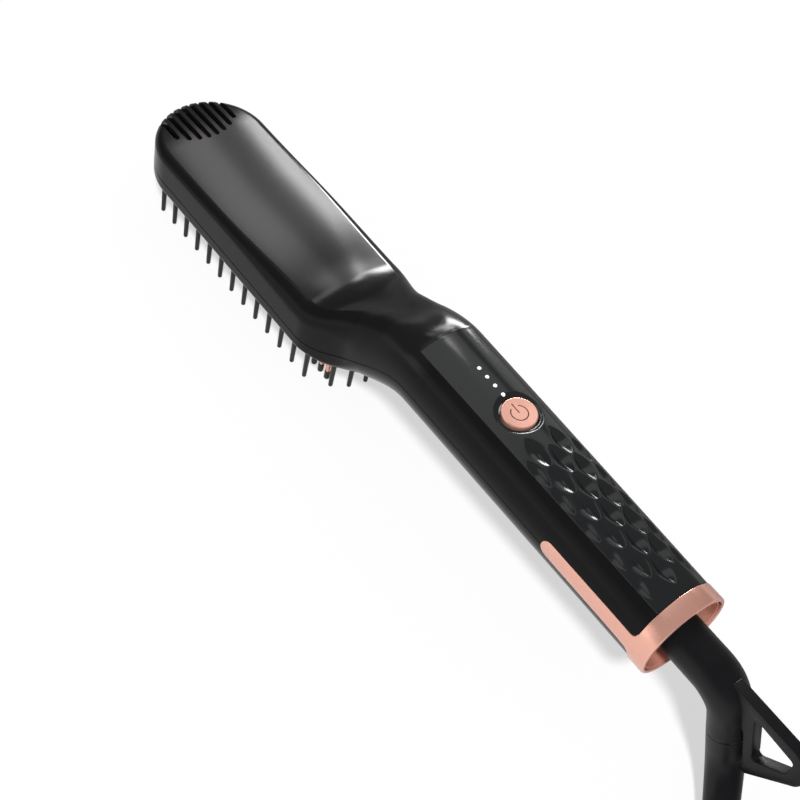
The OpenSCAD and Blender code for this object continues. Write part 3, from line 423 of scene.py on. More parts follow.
# The head's lower corners, and how much squarer than an ellipse the neck is, which fades along the grip
UNDER_W, UNDER_H, SQUARER = 1.0, 1.5, 0.6
# The power of the neck's climb, under 1, so that it starts steeply
STEEP = 0.57
# The dish on top of the neck: its depth, where it sinks and where it ends, and how far its ridges are
# from the middle at its start and at its end; and the fillet at its start
DISH, DISH_IN, DISH_OUT, RIDGE_FROM, RIDGE_TO = 1.6, (80, 93), (97, 112), 12.9, 8.2
FILLET, FILLET_LEN = 0.45, 6
# The groove between the shells: half its gap, its chamfer; and the lower wall's draft for the mould
SEAM, EDGE, DRAFT = 0.06, 0.14, 0.05
# Steps round a shell's skin, rows of points across half of it, and those between which the upper and
# the lower corners lie
SKIN_STEPS, ROWS = 440, 48
ARC_FROM, ARC_TO, LOW_ARC_TO = 5, 32, 40
# The lid's crown, between which places it ends, and how far in from its brink the flat top starts
CROWN, CROWN_OUT, BRINK = 0.6, (84, 96), 0.4
# The least corner of an inner skin
LEAST = 0.2


def along_grip(s):
    return clip((s - S_GRIP) / (S_RING - S_GRIP))


def raw_top(s):
    """The top's height: level at the tip, a slow climb along the head and a steep one up the neck."""
    curve = clip(s - LID_LEVEL, 0, LID_CURVE) ** 2 / (2 * LID_CURVE)
    head = LID_TOP + LID_RISE * clip((curve + max(s - LID_LEVEL - LID_CURVE, 0)) / LID_CLIMB)
    return head + (mix(GRIP_TOP, RING_TOP, along_grip(s)) - head) * ease(s, *TOP_RISES) ** STEEP


def soft_top(s):
    """The top's height, with the foot of the neck's rise rounded."""
    share = ease(s, *FOOT_IN) * (1 - ease(s, *FOOT_OUT))
    if share == 0:
        return raw_top(s)
    around = [raw_top(s + k * FOOT_STEP) for k in range(-FOOT_STEPS, FOOT_STEPS + 1)]
    return mix(raw_top(s), sum(around) / len(around), share)


@functools.lru_cache(maxsize=None)
def section(s):
    """The body's section: half width, heights of parting line, top and bottom, and its corners.
    An upper corner is a superellipse of corner_w by corner_h that stops at the angle end."""
    half_w = HALF_W - (HALF_W - GRIP_HALF_W) * ease(s, *NARROWS)
    part = RISE * ease(s, *PART_RISES)
    top = soft_top(s)
    low = -RIM + (GRIP_LOW + RIM) * ease(s, *LOW_RISES)
    least = CORNER_DRAWN * mix(CORNER_TIP, CORNER_NECK, ease(s, *CORNERS_GROW))
    share = ease(s, *ROUNDS)
    under = ease(s, *UNDER_ROUNDS)
    corner_w = min(least + (half_w - least) * share, half_w - FLAT)
    corner_h = min(least + ((top - part) - least) * share, top - part - FLAT)
    power = 2 / (2 + SQUARER * share * (1 - along_grip(s)))
    end = math.radians(mix(CORNER_STOPS, 90, share))
    return SimpleNamespace(
        half_w=half_w, part=part, top=top, low=low, corner_w=corner_w, corner_h=corner_h,
        power=power, end=end, brink=half_w - corner_w + corner_w * math.cos(end) ** power,
        under_w=UNDER_W + (half_w - UNDER_W) * under, under_h=UNDER_H + ((part - low) - UNDER_H) * under)


def dish(s):
    """How deep the hollow on top of the neck is, and how far its two ridges are from the middle."""
    start, end = DISH_IN[0], DISH_OUT[1]
    fillet = FILLET * math.exp(-((s - start) / FILLET_LEN) ** 2)
    depth = DISH * ease(s, *DISH_IN) * (1 - ease(s, *DISH_OUT))
    return depth - fillet, mix(RIDGE_FROM, RIDGE_TO, clip((s - start) / (end - start)))


def upper_at(s, v, inset=0.0):
    """(y, z) on the upper skin, from the parting line at v 0 to the middle at v 1."""
    b = section(s)
    half_w, top = b.half_w - inset, b.top - inset
    corner_w, corner_h = max(b.corner_w - inset, LEAST), max(b.corner_h - inset, LEAST)
    row = v * ROWS
    centre = top - corner_h * math.sin(b.end) ** b.power
    brink = half_w - corner_w + corner_w * math.cos(b.end) ** b.power
    foot = b.part + SEAM
    if row < 1:
        return (half_w - EDGE * (1 - row) if inset == 0 else half_w), foot + EDGE * row
    if row < ARC_FROM:
        return half_w, mix(foot + EDGE, centre, (row - 1) / (ARC_FROM - 1))
    inner = brink - min(BRINK, brink / 2)
    if row < ARC_TO:
        t = b.end * (row - ARC_FROM) / (ARC_TO - ARC_FROM)
        y = half_w - corner_w + corner_w * math.cos(t) ** b.power
        z = centre + corner_h * math.sin(t) ** b.power
    elif row <= ARC_TO + 1:
        y, z = mix(brink, inner, row - ARC_TO), top
    else:
        y, z = mix(inner, 0, (row - ARC_TO - 1) / (ROWS - ARC_TO - 1)), top
    if inset == 0:
        crown = CROWN * (1 - ease(s, *CROWN_OUT))
        share = (y / brink) ** 2 if row >= ARC_TO else clip((z - b.part) / (top - b.part)) ** 4
        z -= crown * share
        sunk, ridge = dish(s)
        if y < ridge:
            z -= sunk * (1 - (y / ridge) ** 2) ** 2
    return y, z


def lower_at(s, v, inset=0.0):
    """(y, z) on the lower skin, from the parting line at v 0 to the middle at v 1."""
    b = section(s)
    half_w, low = b.half_w - inset, b.low + inset
    under_w, under_h = max(b.under_w - inset, LEAST), max(b.under_h - inset, LEAST)
    row = v * ROWS
    foot = b.part - SEAM
    if row < 1:
        return (half_w - EDGE * (1 - row) if inset == 0 else half_w), foot - EDGE * row
    if row < ARC_FROM:
        share = (row - 1) / (ARC_FROM - 1)
        return half_w - DRAFT * share, mix(foot - EDGE, low + under_h, share)
    half_w -= DRAFT
    if row < LOW_ARC_TO:
        t = math.pi / 2 * (row - ARC_FROM) / (LOW_ARC_TO - ARC_FROM)
        return half_w - under_w + under_w * math.cos(t), low + under_h - under_h * math.sin(t)
    return mix(half_w - under_w, 0, (row - LOW_ARC_TO) / (ROWS - LOW_ARC_TO)), low


# Which place u reaches along a side; past the last, u turns round the tip
STATIONS = ((0.0, S_RING), (0.16, S_GRIP), (0.36, S_NECK - 1), (0.44, S_TIP))
# From here on v lies on the middle line
MIDDLE = 0.9999


def round_the_head(u):
    """u runs from the ring along one side, round the head's tip, and back along the other side."""
    side = 1 if u < 0.5 else -1
    far = min(u, 1 - u)
    for (u0, s0), (u1, s1) in zip(STATIONS, STATIONS[1:]):
        if far < u1:
            return mix(s0, s1, (far - u0) / (u1 - u0)), side, 0.0
    return S_TIP, side, (far - u1) / (0.5 - u1) * math.pi / 2


def skin_point(u, v, profile, inset):
    s, side, angle = round_the_head(u)
    y, z = profile(s, v, inset)
    return at(s - y * math.sin(angle), side * y * math.cos(angle), z)


def half_shell(name, profile):
    """One shell of the body. Its two sides meet in the middle, where they have no wall between them."""
    piece, places = walled_skin(name, SKIN_STEPS, ROWS, lambda u, v: skin_point(u, v, profile, 0.0),
                                lambda u, v: skin_point(u, v, profile, WALL))
    count = len(places)
    mesh = bmesh.new()
    mesh.from_mesh(piece.data)
    middle = [f for f in mesh.faces if all(places[v.index % count][1] > MIDDLE for v in f.verts)]
    bmesh.ops.delete(mesh, geom=middle, context="FACES")
    mesh.to_mesh(piece.data)
    mesh.free()
    close_up(piece)
    return piece


# -------------------- the two shells
# The grip panel: its front edge, the angle it reaches to each side of the top, and its thickness
PANEL_S, PANEL_HALF, PANEL_H = 112.3, 37.5, 1.2
# The gap round the panel in its bed, as a length, an angle and a depth
BED_GAP, BED_GAP_ANGLE, BED_GAP_H = 0.08, 0.3, 0.05
BUTTON_S, BUTTON_R = 139.1, 4.5
LIGHTS = [124.2, 127.15, 130.1, 133.05]
# The vent slots: their number, pitch, half width and depth, and the arc on which their inner ends lie
VENTS, VENT_PITCH, VENT_R, VENT_BOTTOM, VENT_END_S, VENT_ARC = 8, 2.6, 0.72, 6.6, 15.6, 13.2
# A side arm: its length, half width, height over the handle's axis and fillets to the ring, and the
# distance of its inner face from the middle plane
ARM_LEN, ARM_HALF, ARM_UP, ARM_FILLET, ARM_IN, ARM_GAP = 30.4, 2.4, 0.45, 1.5, 10.65, 0.1


def post(name, s, z0, z1, r, sides=64):
    """An upright round cutter."""
    ring = [at(s + r * math.cos(2 * math.pi * k / sides), r * math.sin(2 * math.pi * k / sides), z0)
            for k in range(sides)]
    return solid_of(name, ring, (0, 0, (z1 - z0) * MM))


def top_holes(well_r, light_r):
    """Cutters for the button's well and the light guides' holes."""
    return [post("well", BUTTON_S, RISE + 4, RISE + 14, well_r)] + [
        post("light_hole", s, RISE + 4, RISE + 14, light_r, 24) for s in LIGHTS]


def grip_radius(s, angle):
    """Radius of the skin round the handle's axis at an angle in degrees from its top."""
    b = section(s)
    a = math.radians(angle)
    flat, high = abs(math.sin(a)) / b.half_w, abs(math.cos(a)) / (b.top - b.part)
    return (flat ** (2 / b.power) + high ** (2 / b.power)) ** (-b.power / 2)


def press_bed(piece):
    """The upper shell's bed for the grip panel: its outline is cut in the skin and pressed in."""
    front, reach = PANEL_S - BED_GAP, PANEL_HALF + BED_GAP_ANGLE
    for half in (-1, 1):
        a = math.radians(reach) * half
        editing(piece)
        bpy.ops.mesh.bisect(plane_co=at(0, 0, RISE), plane_no=(0, math.cos(a), -math.sin(a)))
    editing(piece)
    bpy.ops.mesh.bisect(plane_co=at(front, 0, 0), plane_no=(1, 0, 0))
    bpy.ops.mesh.select_all(action="DESELECT")
    mesh = bmesh.from_edit_mesh(piece.data)
    for face in mesh.faces:
        s, y, z = on_comb(face.calc_center_median())
        z -= RISE
        if s > front and z > 0:
            angle = math.degrees(math.atan2(abs(y), z))
            # The skin's own faces, not the wall's inner ones
            face.select = angle < reach and math.hypot(y, z) > grip_radius(s, angle) - 0.5
    bmesh.update_edit_mesh(piece.data)
    bpy.ops.mesh.select_mode(type="FACE")
    bpy.ops.mesh.extrude_region_shrink_fatten(
        TRANSFORM_OT_shrink_fatten={"value": -(PANEL_H + BED_GAP_H) * MM})
    bpy.ops.object.mode_set(mode="OBJECT")


def vent_cutters():
    """Slots along the tip; their inner ends lie on an arc, and they run out over the edge."""
    cutters = []
    for i in range(VENTS):
        y = (i - (VENTS - 1) / 2) * VENT_PITCH
        sag = VENT_ARC - math.sqrt(VENT_ARC ** 2 - min(abs(y), VENT_ARC - 1) ** 2)
        back = VENT_END_S - VENT_R - sag
        outline = [at(back + VENT_R * math.cos(a), y + VENT_R * math.sin(a), VENT_BOTTOM)
                   for a in arc(-90, 90, 12)]
        outline += [at(-1, y + side * VENT_R, VENT_BOTTOM) for side in (1, -1)]
        cutters.append(solid_of("vent_cutter", outline, (0, 0, 4 * MM)))
    return cutters


def arm_outline(fit):
    """A side arm from the side as (s, z) points: a rounded front, and fillets to the ring."""
    rise = RISE + ARM_UP
    front = S_RING - ARM_LEN + ARM_HALF
    r = ARM_HALF + fit
    corner = ARM_FILLET - fit
    points = [(front - r * math.sin(a), rise + r * math.cos(a)) for a in arc(0, 180, 16)]
    low = [(S_RING - ARM_FILLET + corner * math.sin(a), rise - ARM_HALF - ARM_FILLET + corner * math.cos(a))
           for a in arc(0, 90, 8)]
    high = [(x, 2 * rise - z) for x, z in reversed(low)]
    return points + low + [(S_RING + 1, low[-1][1]), (S_RING + 1, high[0][1])] + high


def arm_cutters():
    return [solid_of("arm_cutter", [at(s, side * ARM_IN, z) for s, z in arm_outline(ARM_GAP)],
                     (0, side * 3 * MM, 0)) for side in (-1, 1)]


# Where the satin lacquer ends down the neck
LACQUER_OUT = (73, 86)
# On the neck's crest it comes back: where it begins and ends, its depth under the top, and its share
CREST_IN, CREST_OUT, CREST_DEPTH, CREST_SHARE = (99, 107), (114, 118), (2, 6), 0.45


def satin_top(piece):
    """The satin lacquer covers the lid inside its creases and fades out down the neck; the neck's
    crest has less of it."""
    coat = piece.data.attributes.new("satin", "FLOAT", "POINT")
    for i, vertex in enumerate(piece.data.vertices):
        s, y, z = on_comb(vertex.co)
        b = section(round(clip(s, S_TIP, PANEL_S), 2))
        side = abs(y) if s > S_TIP else math.hypot(s - S_TIP, y)
        lid = (1 - ease(side, b.brink - 0.1, b.brink + 0.6)) * (1 - ease(s, *LACQUER_OUT)) * (z > b.top - 3)
        crest = ease(s, *CREST_IN) * (1 - ease(s, *CREST_OUT)) * (1 - ease(b.top - z, *CREST_DEPTH))
        coat.data[i].value = lid + CREST_SHARE * crest


# The shell's holes are a little wider than those of the panel over it
upper = half_shell("upper_shell_skin", upper_at)
press_bed(upper)
cut_with(upper, vent_cutters() + arm_cutters() + top_holes(BUTTON_R + 0.55, 0.6))
smooth(upper, 26)
stands_for(upper, "comb", shell_abs, "shell_black", "upper_shell")
satin_top(upper)

# The opening in the head's underside, in which the guard frame stands
OPENING_R, OPENING_H = 14.05, 3.4
half_turn = arc(0, 180, 48)
opening = [at(S_TIP - OPENING_R * math.sin(a), OPENING_R * math.cos(a), -RIM - 1) for a in half_turn]
opening += [at(S_NECK + OPENING_R * math.sin(a), -OPENING_R * math.cos(a), -RIM - 1) for a in half_turn]
lower = half_shell("lower_shell_skin", lower_at)
cut_with(lower, [solid_of("opening_cutter", opening, (0, 0, OPENING_H * MM))] + arm_cutters())
smooth(lower, 26)
stands_for(lower, "comb", shell_abs, "shell_black", "lower_shell")


# -------------------- the grip panel
# The hollows lie in five rows round the grip, five in each. Every other row starts half a step later,
# and those of the outer rows are smaller
HOLLOW_PITCH, HOLLOW_FROM, HOLLOW_DEPTH = 8.4, BUTTON_S + 10.8, 1.25
INNER_HOLLOW = SimpleNamespace(half_l=4.65, half_w=2.15)
OUTER_HOLLOW = SimpleNamespace(half_l=4.2, half_w=1.3)
ROW_KINDS = {-31.6: OUTER_HOLLOW, -16.6: INNER_HOLLOW, 0.0: INNER_HOLLOW, 16.6: INNER_HOLLOW,
             31.6: OUTER_HOLLOW}
HOLLOWS = [(HOLLOW_FROM + (i + (1 - row % 2) / 2) * HOLLOW_PITCH, angle, ROW_KINDS[angle])
           for row, angle in enumerate(ROW_KINDS) for i in range(5)]
# The radius of the grip along which a hollow's width is measured
HOLLOW_AT_R = 12.1
# How soft the crease along a hollow's bottom is, and how soft its brim; how full its outline is towards
# its ends, and how slowly its depth falls along it
CREASE, BRIM, FULLNESS, FALL = 0.012, 0.008, 0.85, 1.7
# Steps along the panel, with more of them up to a place behind the button
PANEL_STEPS, FRONT_STEPS, FRONT_END_S = 360, 110, 145
# The scoop round the button
SCOOP_R, SCOOP_EDGE, SCOOP_H = 6.1, 1.3, 0.55
# How proud the panel stands at its sides; the depth of its eased sides and the share of its half width
# from which they fall; the depth and length of its eased front edge
PROUD, SIDE_EASE, SIDE_EASE_FROM, FRONT_EASE, FRONT_EASE_LEN = 0.28, 0.12, 0.985, 0.06, 0.12


def hollow(s, angle):
    """Depth of the leaf-shaped hollows: pointed ends, a soft crease along the bottom, rounded brims."""
    deepest = 0.0
    for middle, row, kind in HOLLOWS:
        u = (s - middle) / kind.half_l
        if abs(u) >= 1:
            continue
        leaf = kind.half_w * (1 - u * u) ** FULLNESS + 0.01
        across = abs(angle - row) * math.pi / 180 * HOLLOW_AT_R / leaf
        if across >= 1:
            continue
        share = (math.sqrt(across * across + CREASE) - math.sqrt(CREASE)) / (
            math.sqrt(1 + CREASE) - math.sqrt(CREASE))
        full = (1 - share) * (1 - abs(u) ** FALL)
        depth = HOLLOW_DEPTH * kind.half_w / INNER_HOLLOW.half_w
        deepest = max(deepest, depth * (math.sqrt(full * full + BRIM) - math.sqrt(BRIM)))
    return deepest


def panel_place(u, v):
    step = u * PANEL_STEPS
    if step < FRONT_STEPS:
        s = mix(PANEL_S, FRONT_END_S, step / FRONT_STEPS)
    else:
        s = mix(FRONT_END_S, S_RING, (step - FRONT_STEPS) / (PANEL_STEPS - FRONT_STEPS))
    return s, mix(-PANEL_HALF, PANEL_HALF, v)


def panel_outer(u, v):
    """The panel's outside stands a little proud to its sides, and its edges are eased."""
    s, angle = panel_place(u, v)
    edge = abs(angle) / PANEL_HALF
    eased = SIDE_EASE * clip((edge - SIDE_EASE_FROM) / (1 - SIDE_EASE_FROM))
    r = grip_radius(s, angle) + PROUD * edge ** 4 - eased - hollow(s, angle)
    y, z = r * math.sin(math.radians(angle)), r * math.cos(math.radians(angle))
    away = math.hypot(s - BUTTON_S, y)
    if away < SCOOP_R:
        z -= SCOOP_H * ease(SCOOP_R - away, 0, SCOOP_EDGE)
    z -= FRONT_EASE * clip((PANEL_S + FRONT_EASE_LEN - s) / FRONT_EASE_LEN)
    return at(s, y, RISE + z)


def panel_inner(u, v):
    """The inside follows the hollows by a quarter."""
    s, angle = panel_place(u, v)
    r = grip_radius(s, angle) - PANEL_H - 0.25 * hollow(s, angle)
    return at(s, r * math.sin(math.radians(angle)), RISE + r * math.cos(math.radians(angle)))


panel, _ = walled_skin("grip_panel_skin", PANEL_STEPS, 118, panel_outer, panel_inner)
close_up(panel)
cut_with(panel, top_holes(BUTTON_R + 0.3, 0.58))
smooth(panel, 40)
stands_for(panel, "comb", gloss_panel, "panel_black", "grip_panel")


# -------------------- the end ring, button and lights
# The end ring: a band with a rounded lip, a fine groove inside the lip, and a recess
RING_R, RING_LEN, RECESS_R, RECESS_H, GROOVE_R = 12.1, 5.0, 10.4, 3.8, 10.62
ring_outline = rounded([
    (0.12, 6.0, 0), (0.12, RING_R, 0.22), (RING_LEN, RING_R, 0.5), (RING_LEN, 11.15, 0.2),
    (2.4, 11.05, 0.1), (2.4, GROOVE_R, 0.1), (4.5, GROOVE_R, 0.1), (4.5, RECESS_R, 0.08),
    (RING_LEN - RECESS_H, RECESS_R - 0.1, 0.4), (RING_LEN - RECESS_H, 6.0, 0.2)])
# The arms' outside follows the handle, then meets the ring just under its skin
arm_bound = [(-34, 0), (-34, 11.9), (-8, 11.9), (-4, 11.95), (-2, 12.03), (-0.5, RING_R - 0.005),
             (1, RING_R - 0.005), (1, 0)]
ring = turned("end_ring_band", ring_outline, at(S_RING, 0, RISE), (1, 0, 0))
arms = []
for side in (-1, 1):
    outline = [at(s, side * (ARM_IN - ARM_GAP / 2), z) for s, z in arm_outline(0.0)]
    arm = solid_of("arm", outline, (0, side * 2 * MM, 0))
    cut_with(arm, [turned("arm_bound", arm_bound, at(S_RING, 0, RISE), (1, 0, 0), 256)], "INTERSECT")
    bevel(arm, 0.12, 2)
    arms.append(arm)
ring = joined("end_ring_band", [ring] + arms)
smooth(ring, 35)
stands_for(ring, "comb", rose_plate, "rose_gold", "end_ring")

# The power button: a faintly dished cap with a bevelled rim and an engraved mark
BUTTON_TOP = mix(GRIP_TOP, RING_TOP, along_grip(BUTTON_S)) - 0.1
CAP_R = BUTTON_R - 0.05
# The mark: its ring's radius, half its line's width, its bar's length and its depth, and between which
# depths the faces of its ground lie
MARK_R, MARK_HALF, MARK_BAR, MARK_DEPTH, MARK_GROUND = 2.1, 0.15, 3.0, 0.32, (0.22, 0.5)
cap_outline = rounded([(-2.6, 0, 0), (-2.6, CAP_R, 0.1), (0, CAP_R, 0.28), (-0.05, CAP_R - 0.5, 0.1),
                       (-0.14, 2.2, 0), (-0.16, 0, 0)])
button = turned("power_button_cap", cap_outline, at(BUTTON_S, 0, BUTTON_TOP), (0, 0, 1), 128)


def mark_cutters():
    """An open ring with a bar through its gap, sunk a little into the cap."""
    inner, outer = MARK_R - MARK_HALF, MARK_R + MARK_HALF
    angles = arc(210, 510, 48)
    open_ring = [(outer * math.cos(a), outer * math.sin(a)) for a in angles]
    open_ring += [(inner * math.cos(a), inner * math.sin(a)) for a in reversed(angles)]
    bar = [(-MARK_BAR, -MARK_HALF), (0, -MARK_HALF), (0, MARK_HALF), (-MARK_BAR, MARK_HALF)]
    return [solid_of("mark_cutter", [at(BUTTON_S + x, y, BUTTON_TOP - MARK_DEPTH) for x, y in line],
                     (0, 0, 0.5 * MM)) for line in (open_ring, bar)]


cut_with(button, mark_cutters())
smooth(button, 35)
stands_for(button, "button", rose_plate, "rose_gold", "power_button")
button.data.materials.append(burnt_mark)
for face in button.data.polygons:
    s, y, z = on_comb(face.center)
    if MARK_GROUND[0] < BUTTON_TOP - z < MARK_GROUND[1] and math.hypot(s - BUTTON_S, y) < MARK_BAR + 0.4:
        face.material_index = 1

# Light guides, domed just proud of the panel
guide_outline = [(-8.1, 0), (-8.1, 0.52), (-0.2, 0.52), (-0.1, 0.48), (-0.03, 0.35), (0, 0.18), (0, 0)]
lights = joined("light_guides", [
    turned("light_guide", guide_outline, at(s, 0, mix(GRIP_TOP, RING_TOP, along_grip(s)) + 0.06),
           (0, 0, 1), 24) for s in LIGHTS])
smooth(lights, 50)
stands_for(lights, "comb", frosted, "light_white", "status_lights")


# -------------------- the cord's end
# The elbow turns the stem down by an angle at its bend, and the strain relief then turns aside
ELBOW, ASIDE_TURN = math.radians(69), math.radians(50)
DOWN = Vector((math.cos(ELBOW), 0, -math.sin(ELBOW)))
ASIDE = Vector((math.cos(ASIDE_TURN), -math.sin(ASIDE_TURN), 0))
BEND = Vector((215.1, 0, RISE))
STEM_FROM, STEM_R, ELBOW_R, ELBOW_OUT = 175.0, 5.5, 9.0, 12.3
BOOT_D, BOOT_END_D, CORD_D = 9.6, 7.4, 6.0
TABLE, TABLE_GAP = -PARTING_Z, 0.3
# The strain relief: a lead straight down, a bend, and a turn along the table; steps along it, and how
# far its skin lies inside the solid's
BOOT_BEND_R, BOOT_TURN_R, BOOT_TURN_LEN = 14.0, 40.0, 12.0
BOOT_STEPS, SKIN_IN = 60, 0.01
BOOT_FROM = BEND + ELBOW_OUT * DOWN
DROP = math.acos(DOWN.dot(ASIDE))
LEAD = (BOOT_FROM.z - TABLE - (BOOT_D + BOOT_END_D) / 4 - TABLE_GAP) / math.sin(ELBOW) \
    - BOOT_BEND_R * math.tan(DROP / 2)
BOOT_LEN = LEAD + BOOT_BEND_R * DROP + BOOT_TURN_LEN


def boot_point(far):
    """A point of the strain relief's middle line."""
    inward = (ASIDE - ASIDE.dot(DOWN) * DOWN).normalized()
    a = clip((far - LEAD) / BOOT_BEND_R, 0, DROP)
    b = max(far - LEAD - BOOT_BEND_R * DROP, 0) / BOOT_TURN_R
    lead = BOOT_FROM + min(far, LEAD) * DOWN
    bend = BOOT_BEND_R * (math.sin(a) * DOWN + (1 - math.cos(a)) * inward)
    turn = BOOT_TURN_R * Vector((math.sin(ASIDE_TURN) - math.sin(ASIDE_TURN - b),
                                 math.cos(ASIDE_TURN) - math.cos(ASIDE_TURN - b), 0))
    return lead + bend + turn


def tube(name, points, radii, sides):
    """A round bar along points, closed at both ends."""
    deselect()
    bpy.ops.mesh.primitive_grid_add(x_subdivisions=len(points) - 1, y_subdivisions=sides, size=1)
    piece = bpy.context.object
    piece.name = name
    across = DOWN.cross(ASIDE)
    rings = []
    for i, point in enumerate(points):
        ahead = (points[min(i + 1, len(points) - 1)] - points[max(i - 1, 0)]).normalized()
        across = (across - across.dot(ahead) * ahead).normalized()
        rings.append((point, across, ahead.cross(across), radii[i]))
    for vertex in piece.data.vertices:
        point, beside, above, r = rings[round((vertex.co.x + 0.5) * (len(points) - 1))]
        a = 2 * math.pi * (vertex.co.y + 0.5)
        vertex.co = at(*(point + r * (math.cos(a) * beside + math.sin(a) * above)))
    editing(piece)
    bpy.ops.mesh.remove_doubles(threshold=0.001 * MM)
    bpy.ops.mesh.select_all(action="DESELECT")
    bpy.ops.mesh.select_mode(type="EDGE")
    bpy.ops.mesh.select_non_manifold()
    bpy.ops.mesh.edge_face_add()
    outwards()
    return piece


fars = [BOOT_LEN * k / BOOT_STEPS for k in range(BOOT_STEPS + 1)]
boot = tube("strain_relief", [boot_point(far) for far in fars],
            [mix(BOOT_D, BOOT_END_D, far / BOOT_LEN) / 2 - SKIN_IN for far in fars], 48)
smooth(boot)
stands_for(boot, "swivel", cord_abs, "cord_black", "cord_boot")

BEND_REACH = ELBOW_R * math.tan(ELBOW / 2)
STRAIGHT = BEND.x - BEND_REACH - STEM_FROM
ELBOW_LEN = STRAIGHT + ELBOW_R * ELBOW + ELBOW_OUT - BEND_REACH


def elbow_point(far):
    """From the stem's start in the handle, through the bend, to the strain relief."""
    if far < STRAIGHT:
        return Vector((STEM_FROM + far, 0, RISE))
    a = (far - STRAIGHT) / ELBOW_R
    if a < ELBOW:
        return Vector((STEM_FROM + STRAIGHT, 0, RISE)) + ELBOW_R * Vector((math.sin(a), 0, math.cos(a) - 1))
    return BEND + (far - STRAIGHT - ELBOW_R * ELBOW + BEND_REACH) * DOWN


# Steps of the stem inside the comb: tail for the slip rings, clip groove, and collar in the ring
TAIL_R, GROOVE_BOTTOM_R, COLLAR_R = 4.0, 4.7, 6.4
stem = [(STEM_FROM, TAIL_R - 0.3), (175.3, TAIL_R), (186.48, TAIL_R), (186.5, STEM_R), (187.68, STEM_R),
        (187.7, GROOVE_BOTTOM_R), (188.7, GROOVE_BOTTOM_R), (188.72, STEM_R), (196.38, STEM_R),
        (196.4, COLLAR_R), (197.4, COLLAR_R), (197.42, STEM_R)]
fars = [s - STEM_FROM for s, r in stem]
radii = [r for s, r in stem]
# Then it widens to the strain relief, with a fine chamfer, as a length and a depth, where they meet
ELBOW_STEPS, CHAMFER_LEN, CHAMFER = 60, 0.25, 0.16
for k in range(1, ELBOW_STEPS + 1):
    fars.append(mix(stem[-1][0] - STEM_FROM, ELBOW_LEN - CHAMFER_LEN, k / ELBOW_STEPS))
    radii.append(mix(STEM_R, BOOT_D / 2, ease(fars[-1], ELBOW_LEN - 14, ELBOW_LEN - 3)))
fars.append(ELBOW_LEN)
radii.append(BOOT_D / 2 - CHAMFER)
elbow = tube("elbow_stem", [elbow_point(far) for far in fars], radii, 72)

# The hanging loop, as (s, z) from the bend's corner: its outer corner's radius and place, its top,
# the radius of its foot, its thickness, its bars, and the radius of its window's corners
LOOP_R, LOOP_REACH, LOOP_TOP, LOOP_FOOT_R, LOOP_H = 6.0, 24.1, 4.2, 1.2, 3.0
LOOP_BAR, LOOP_SIDE_BAR, LOOP_BACK_BAR, WINDOW_R = 2.8, 2.9, 4, 1.0
# Its gap to the strain relief, and how far its foot is past the elbow
LOOP_GAP, LOOP_FOOT_OUT = 0.35, 6.6
# The angles that its back side and its window's front side face, and at which the foot's round ends
BACK_FACES, FRONT_FACES, FOOT_ENDS = -48, 171, -216


def loop_points():
    """The outlines of the loop and of its window."""
    side, along = Vector((-DOWN.z, DOWN.x)), Vector((DOWN.x, DOWN.z))
    clear = BOOT_D / 2 + LOOP_GAP
    shoulder = Vector((LOOP_REACH - LOOP_R, LOOP_TOP - LOOP_R))
    foot = along * (ELBOW_OUT + LOOP_FOOT_OUT) + side * (clear + LOOP_FOOT_R)

    def turn(centre, r, start, end, count):
        return [tuple(centre + r * Vector((math.cos(a), math.sin(a)))) for a in arc(start, end, count)]

    outer = [(0, 0), (0, LOOP_TOP)] + turn(shoulder, LOOP_R, 90, BACK_FACES, 24)
    outer += turn(foot, LOOP_FOOT_R, BACK_FACES, FOOT_ENDS, 12)
    outer += [tuple(along * (ELBOW_OUT - 4) + side * clear)]
    inner_side, top = clear + LOOP_SIDE_BAR, LOOP_TOP - LOOP_BAR
    back = LOOP_R - LOOP_BACK_BAR - WINDOW_R
    front = along.x / along.y * (top - WINDOW_R) + inner_side / side.x + WINDOW_R
    corners = [Vector((front, top - WINDOW_R)), shoulder + Vector((back, 1.6)),
               shoulder + Vector((back, -2)), along * (ELBOW_OUT + 0.9) + side * (inner_side + WINDOW_R)]
    faced = (FRONT_FACES, 90, 0, BACK_FACES, FRONT_FACES - 360)
    window = []
    for centre, start, end in zip(corners, faced, faced[1:]):
        window += turn(centre, WINDOW_R, start, end, 5)
    return outer, window


def loop_plate(name, outline, thick):
    return solid_of(name, [at(BEND.x + x, -thick / 2, RISE + z) for x, z in outline], (0, thick * MM, 0))


loop_outline, loop_window = loop_points()
plate = loop_plate("loop", loop_outline, LOOP_H)
cut_with(plate, [loop_plate("window", loop_window, 2 * LOOP_H)])
bevel(plate, 0.45, 3)
elbow = joined("elbow_and_loop", [elbow, plate])
smooth(elbow, 40)
stands_for(elbow, "swivel", cord_abs, "cord_black", "swivel_elbow")


# -------------------- the cord
# The hank lies on two tracks, four layers high: each change of track or layer comes a little before
# the place where the cord would meet its last lap. Its places are in mm in the frame
TRACK_OUT, TRACK_IN, LAYERS = 24.0, 18.0, (3.02, 9.04, 15.06, 21.1)
HANK_X, HANK_Y = (154.0, 228.0), 1.6
TRACK_CHANGES = ((2.62, 3.0, TRACK_IN), (8.6, 8.98, TRACK_OUT), (14.62, 15.0, TRACK_IN))
LAYER_CHANGES = ((6.2, 6.6, LAYERS[1]), (12.1, 12.5, LAYERS[2]), (18.22, 18.62, LAYERS[3]))
# Five laps, then a swing into the hank and back to its line, up to the plug
QUARTERS, SWING, SWING_R = 20, math.radians(55.2), 24
# Points to a quarter, and to each half of the swing
QUARTER_POINTS, SWING_POINTS = 12, 6
PLUG_X, PLUG_Z = 197.4, 24.5


def gentle(t):
    return (1 - math.cos(math.pi * clip(t))) / 2


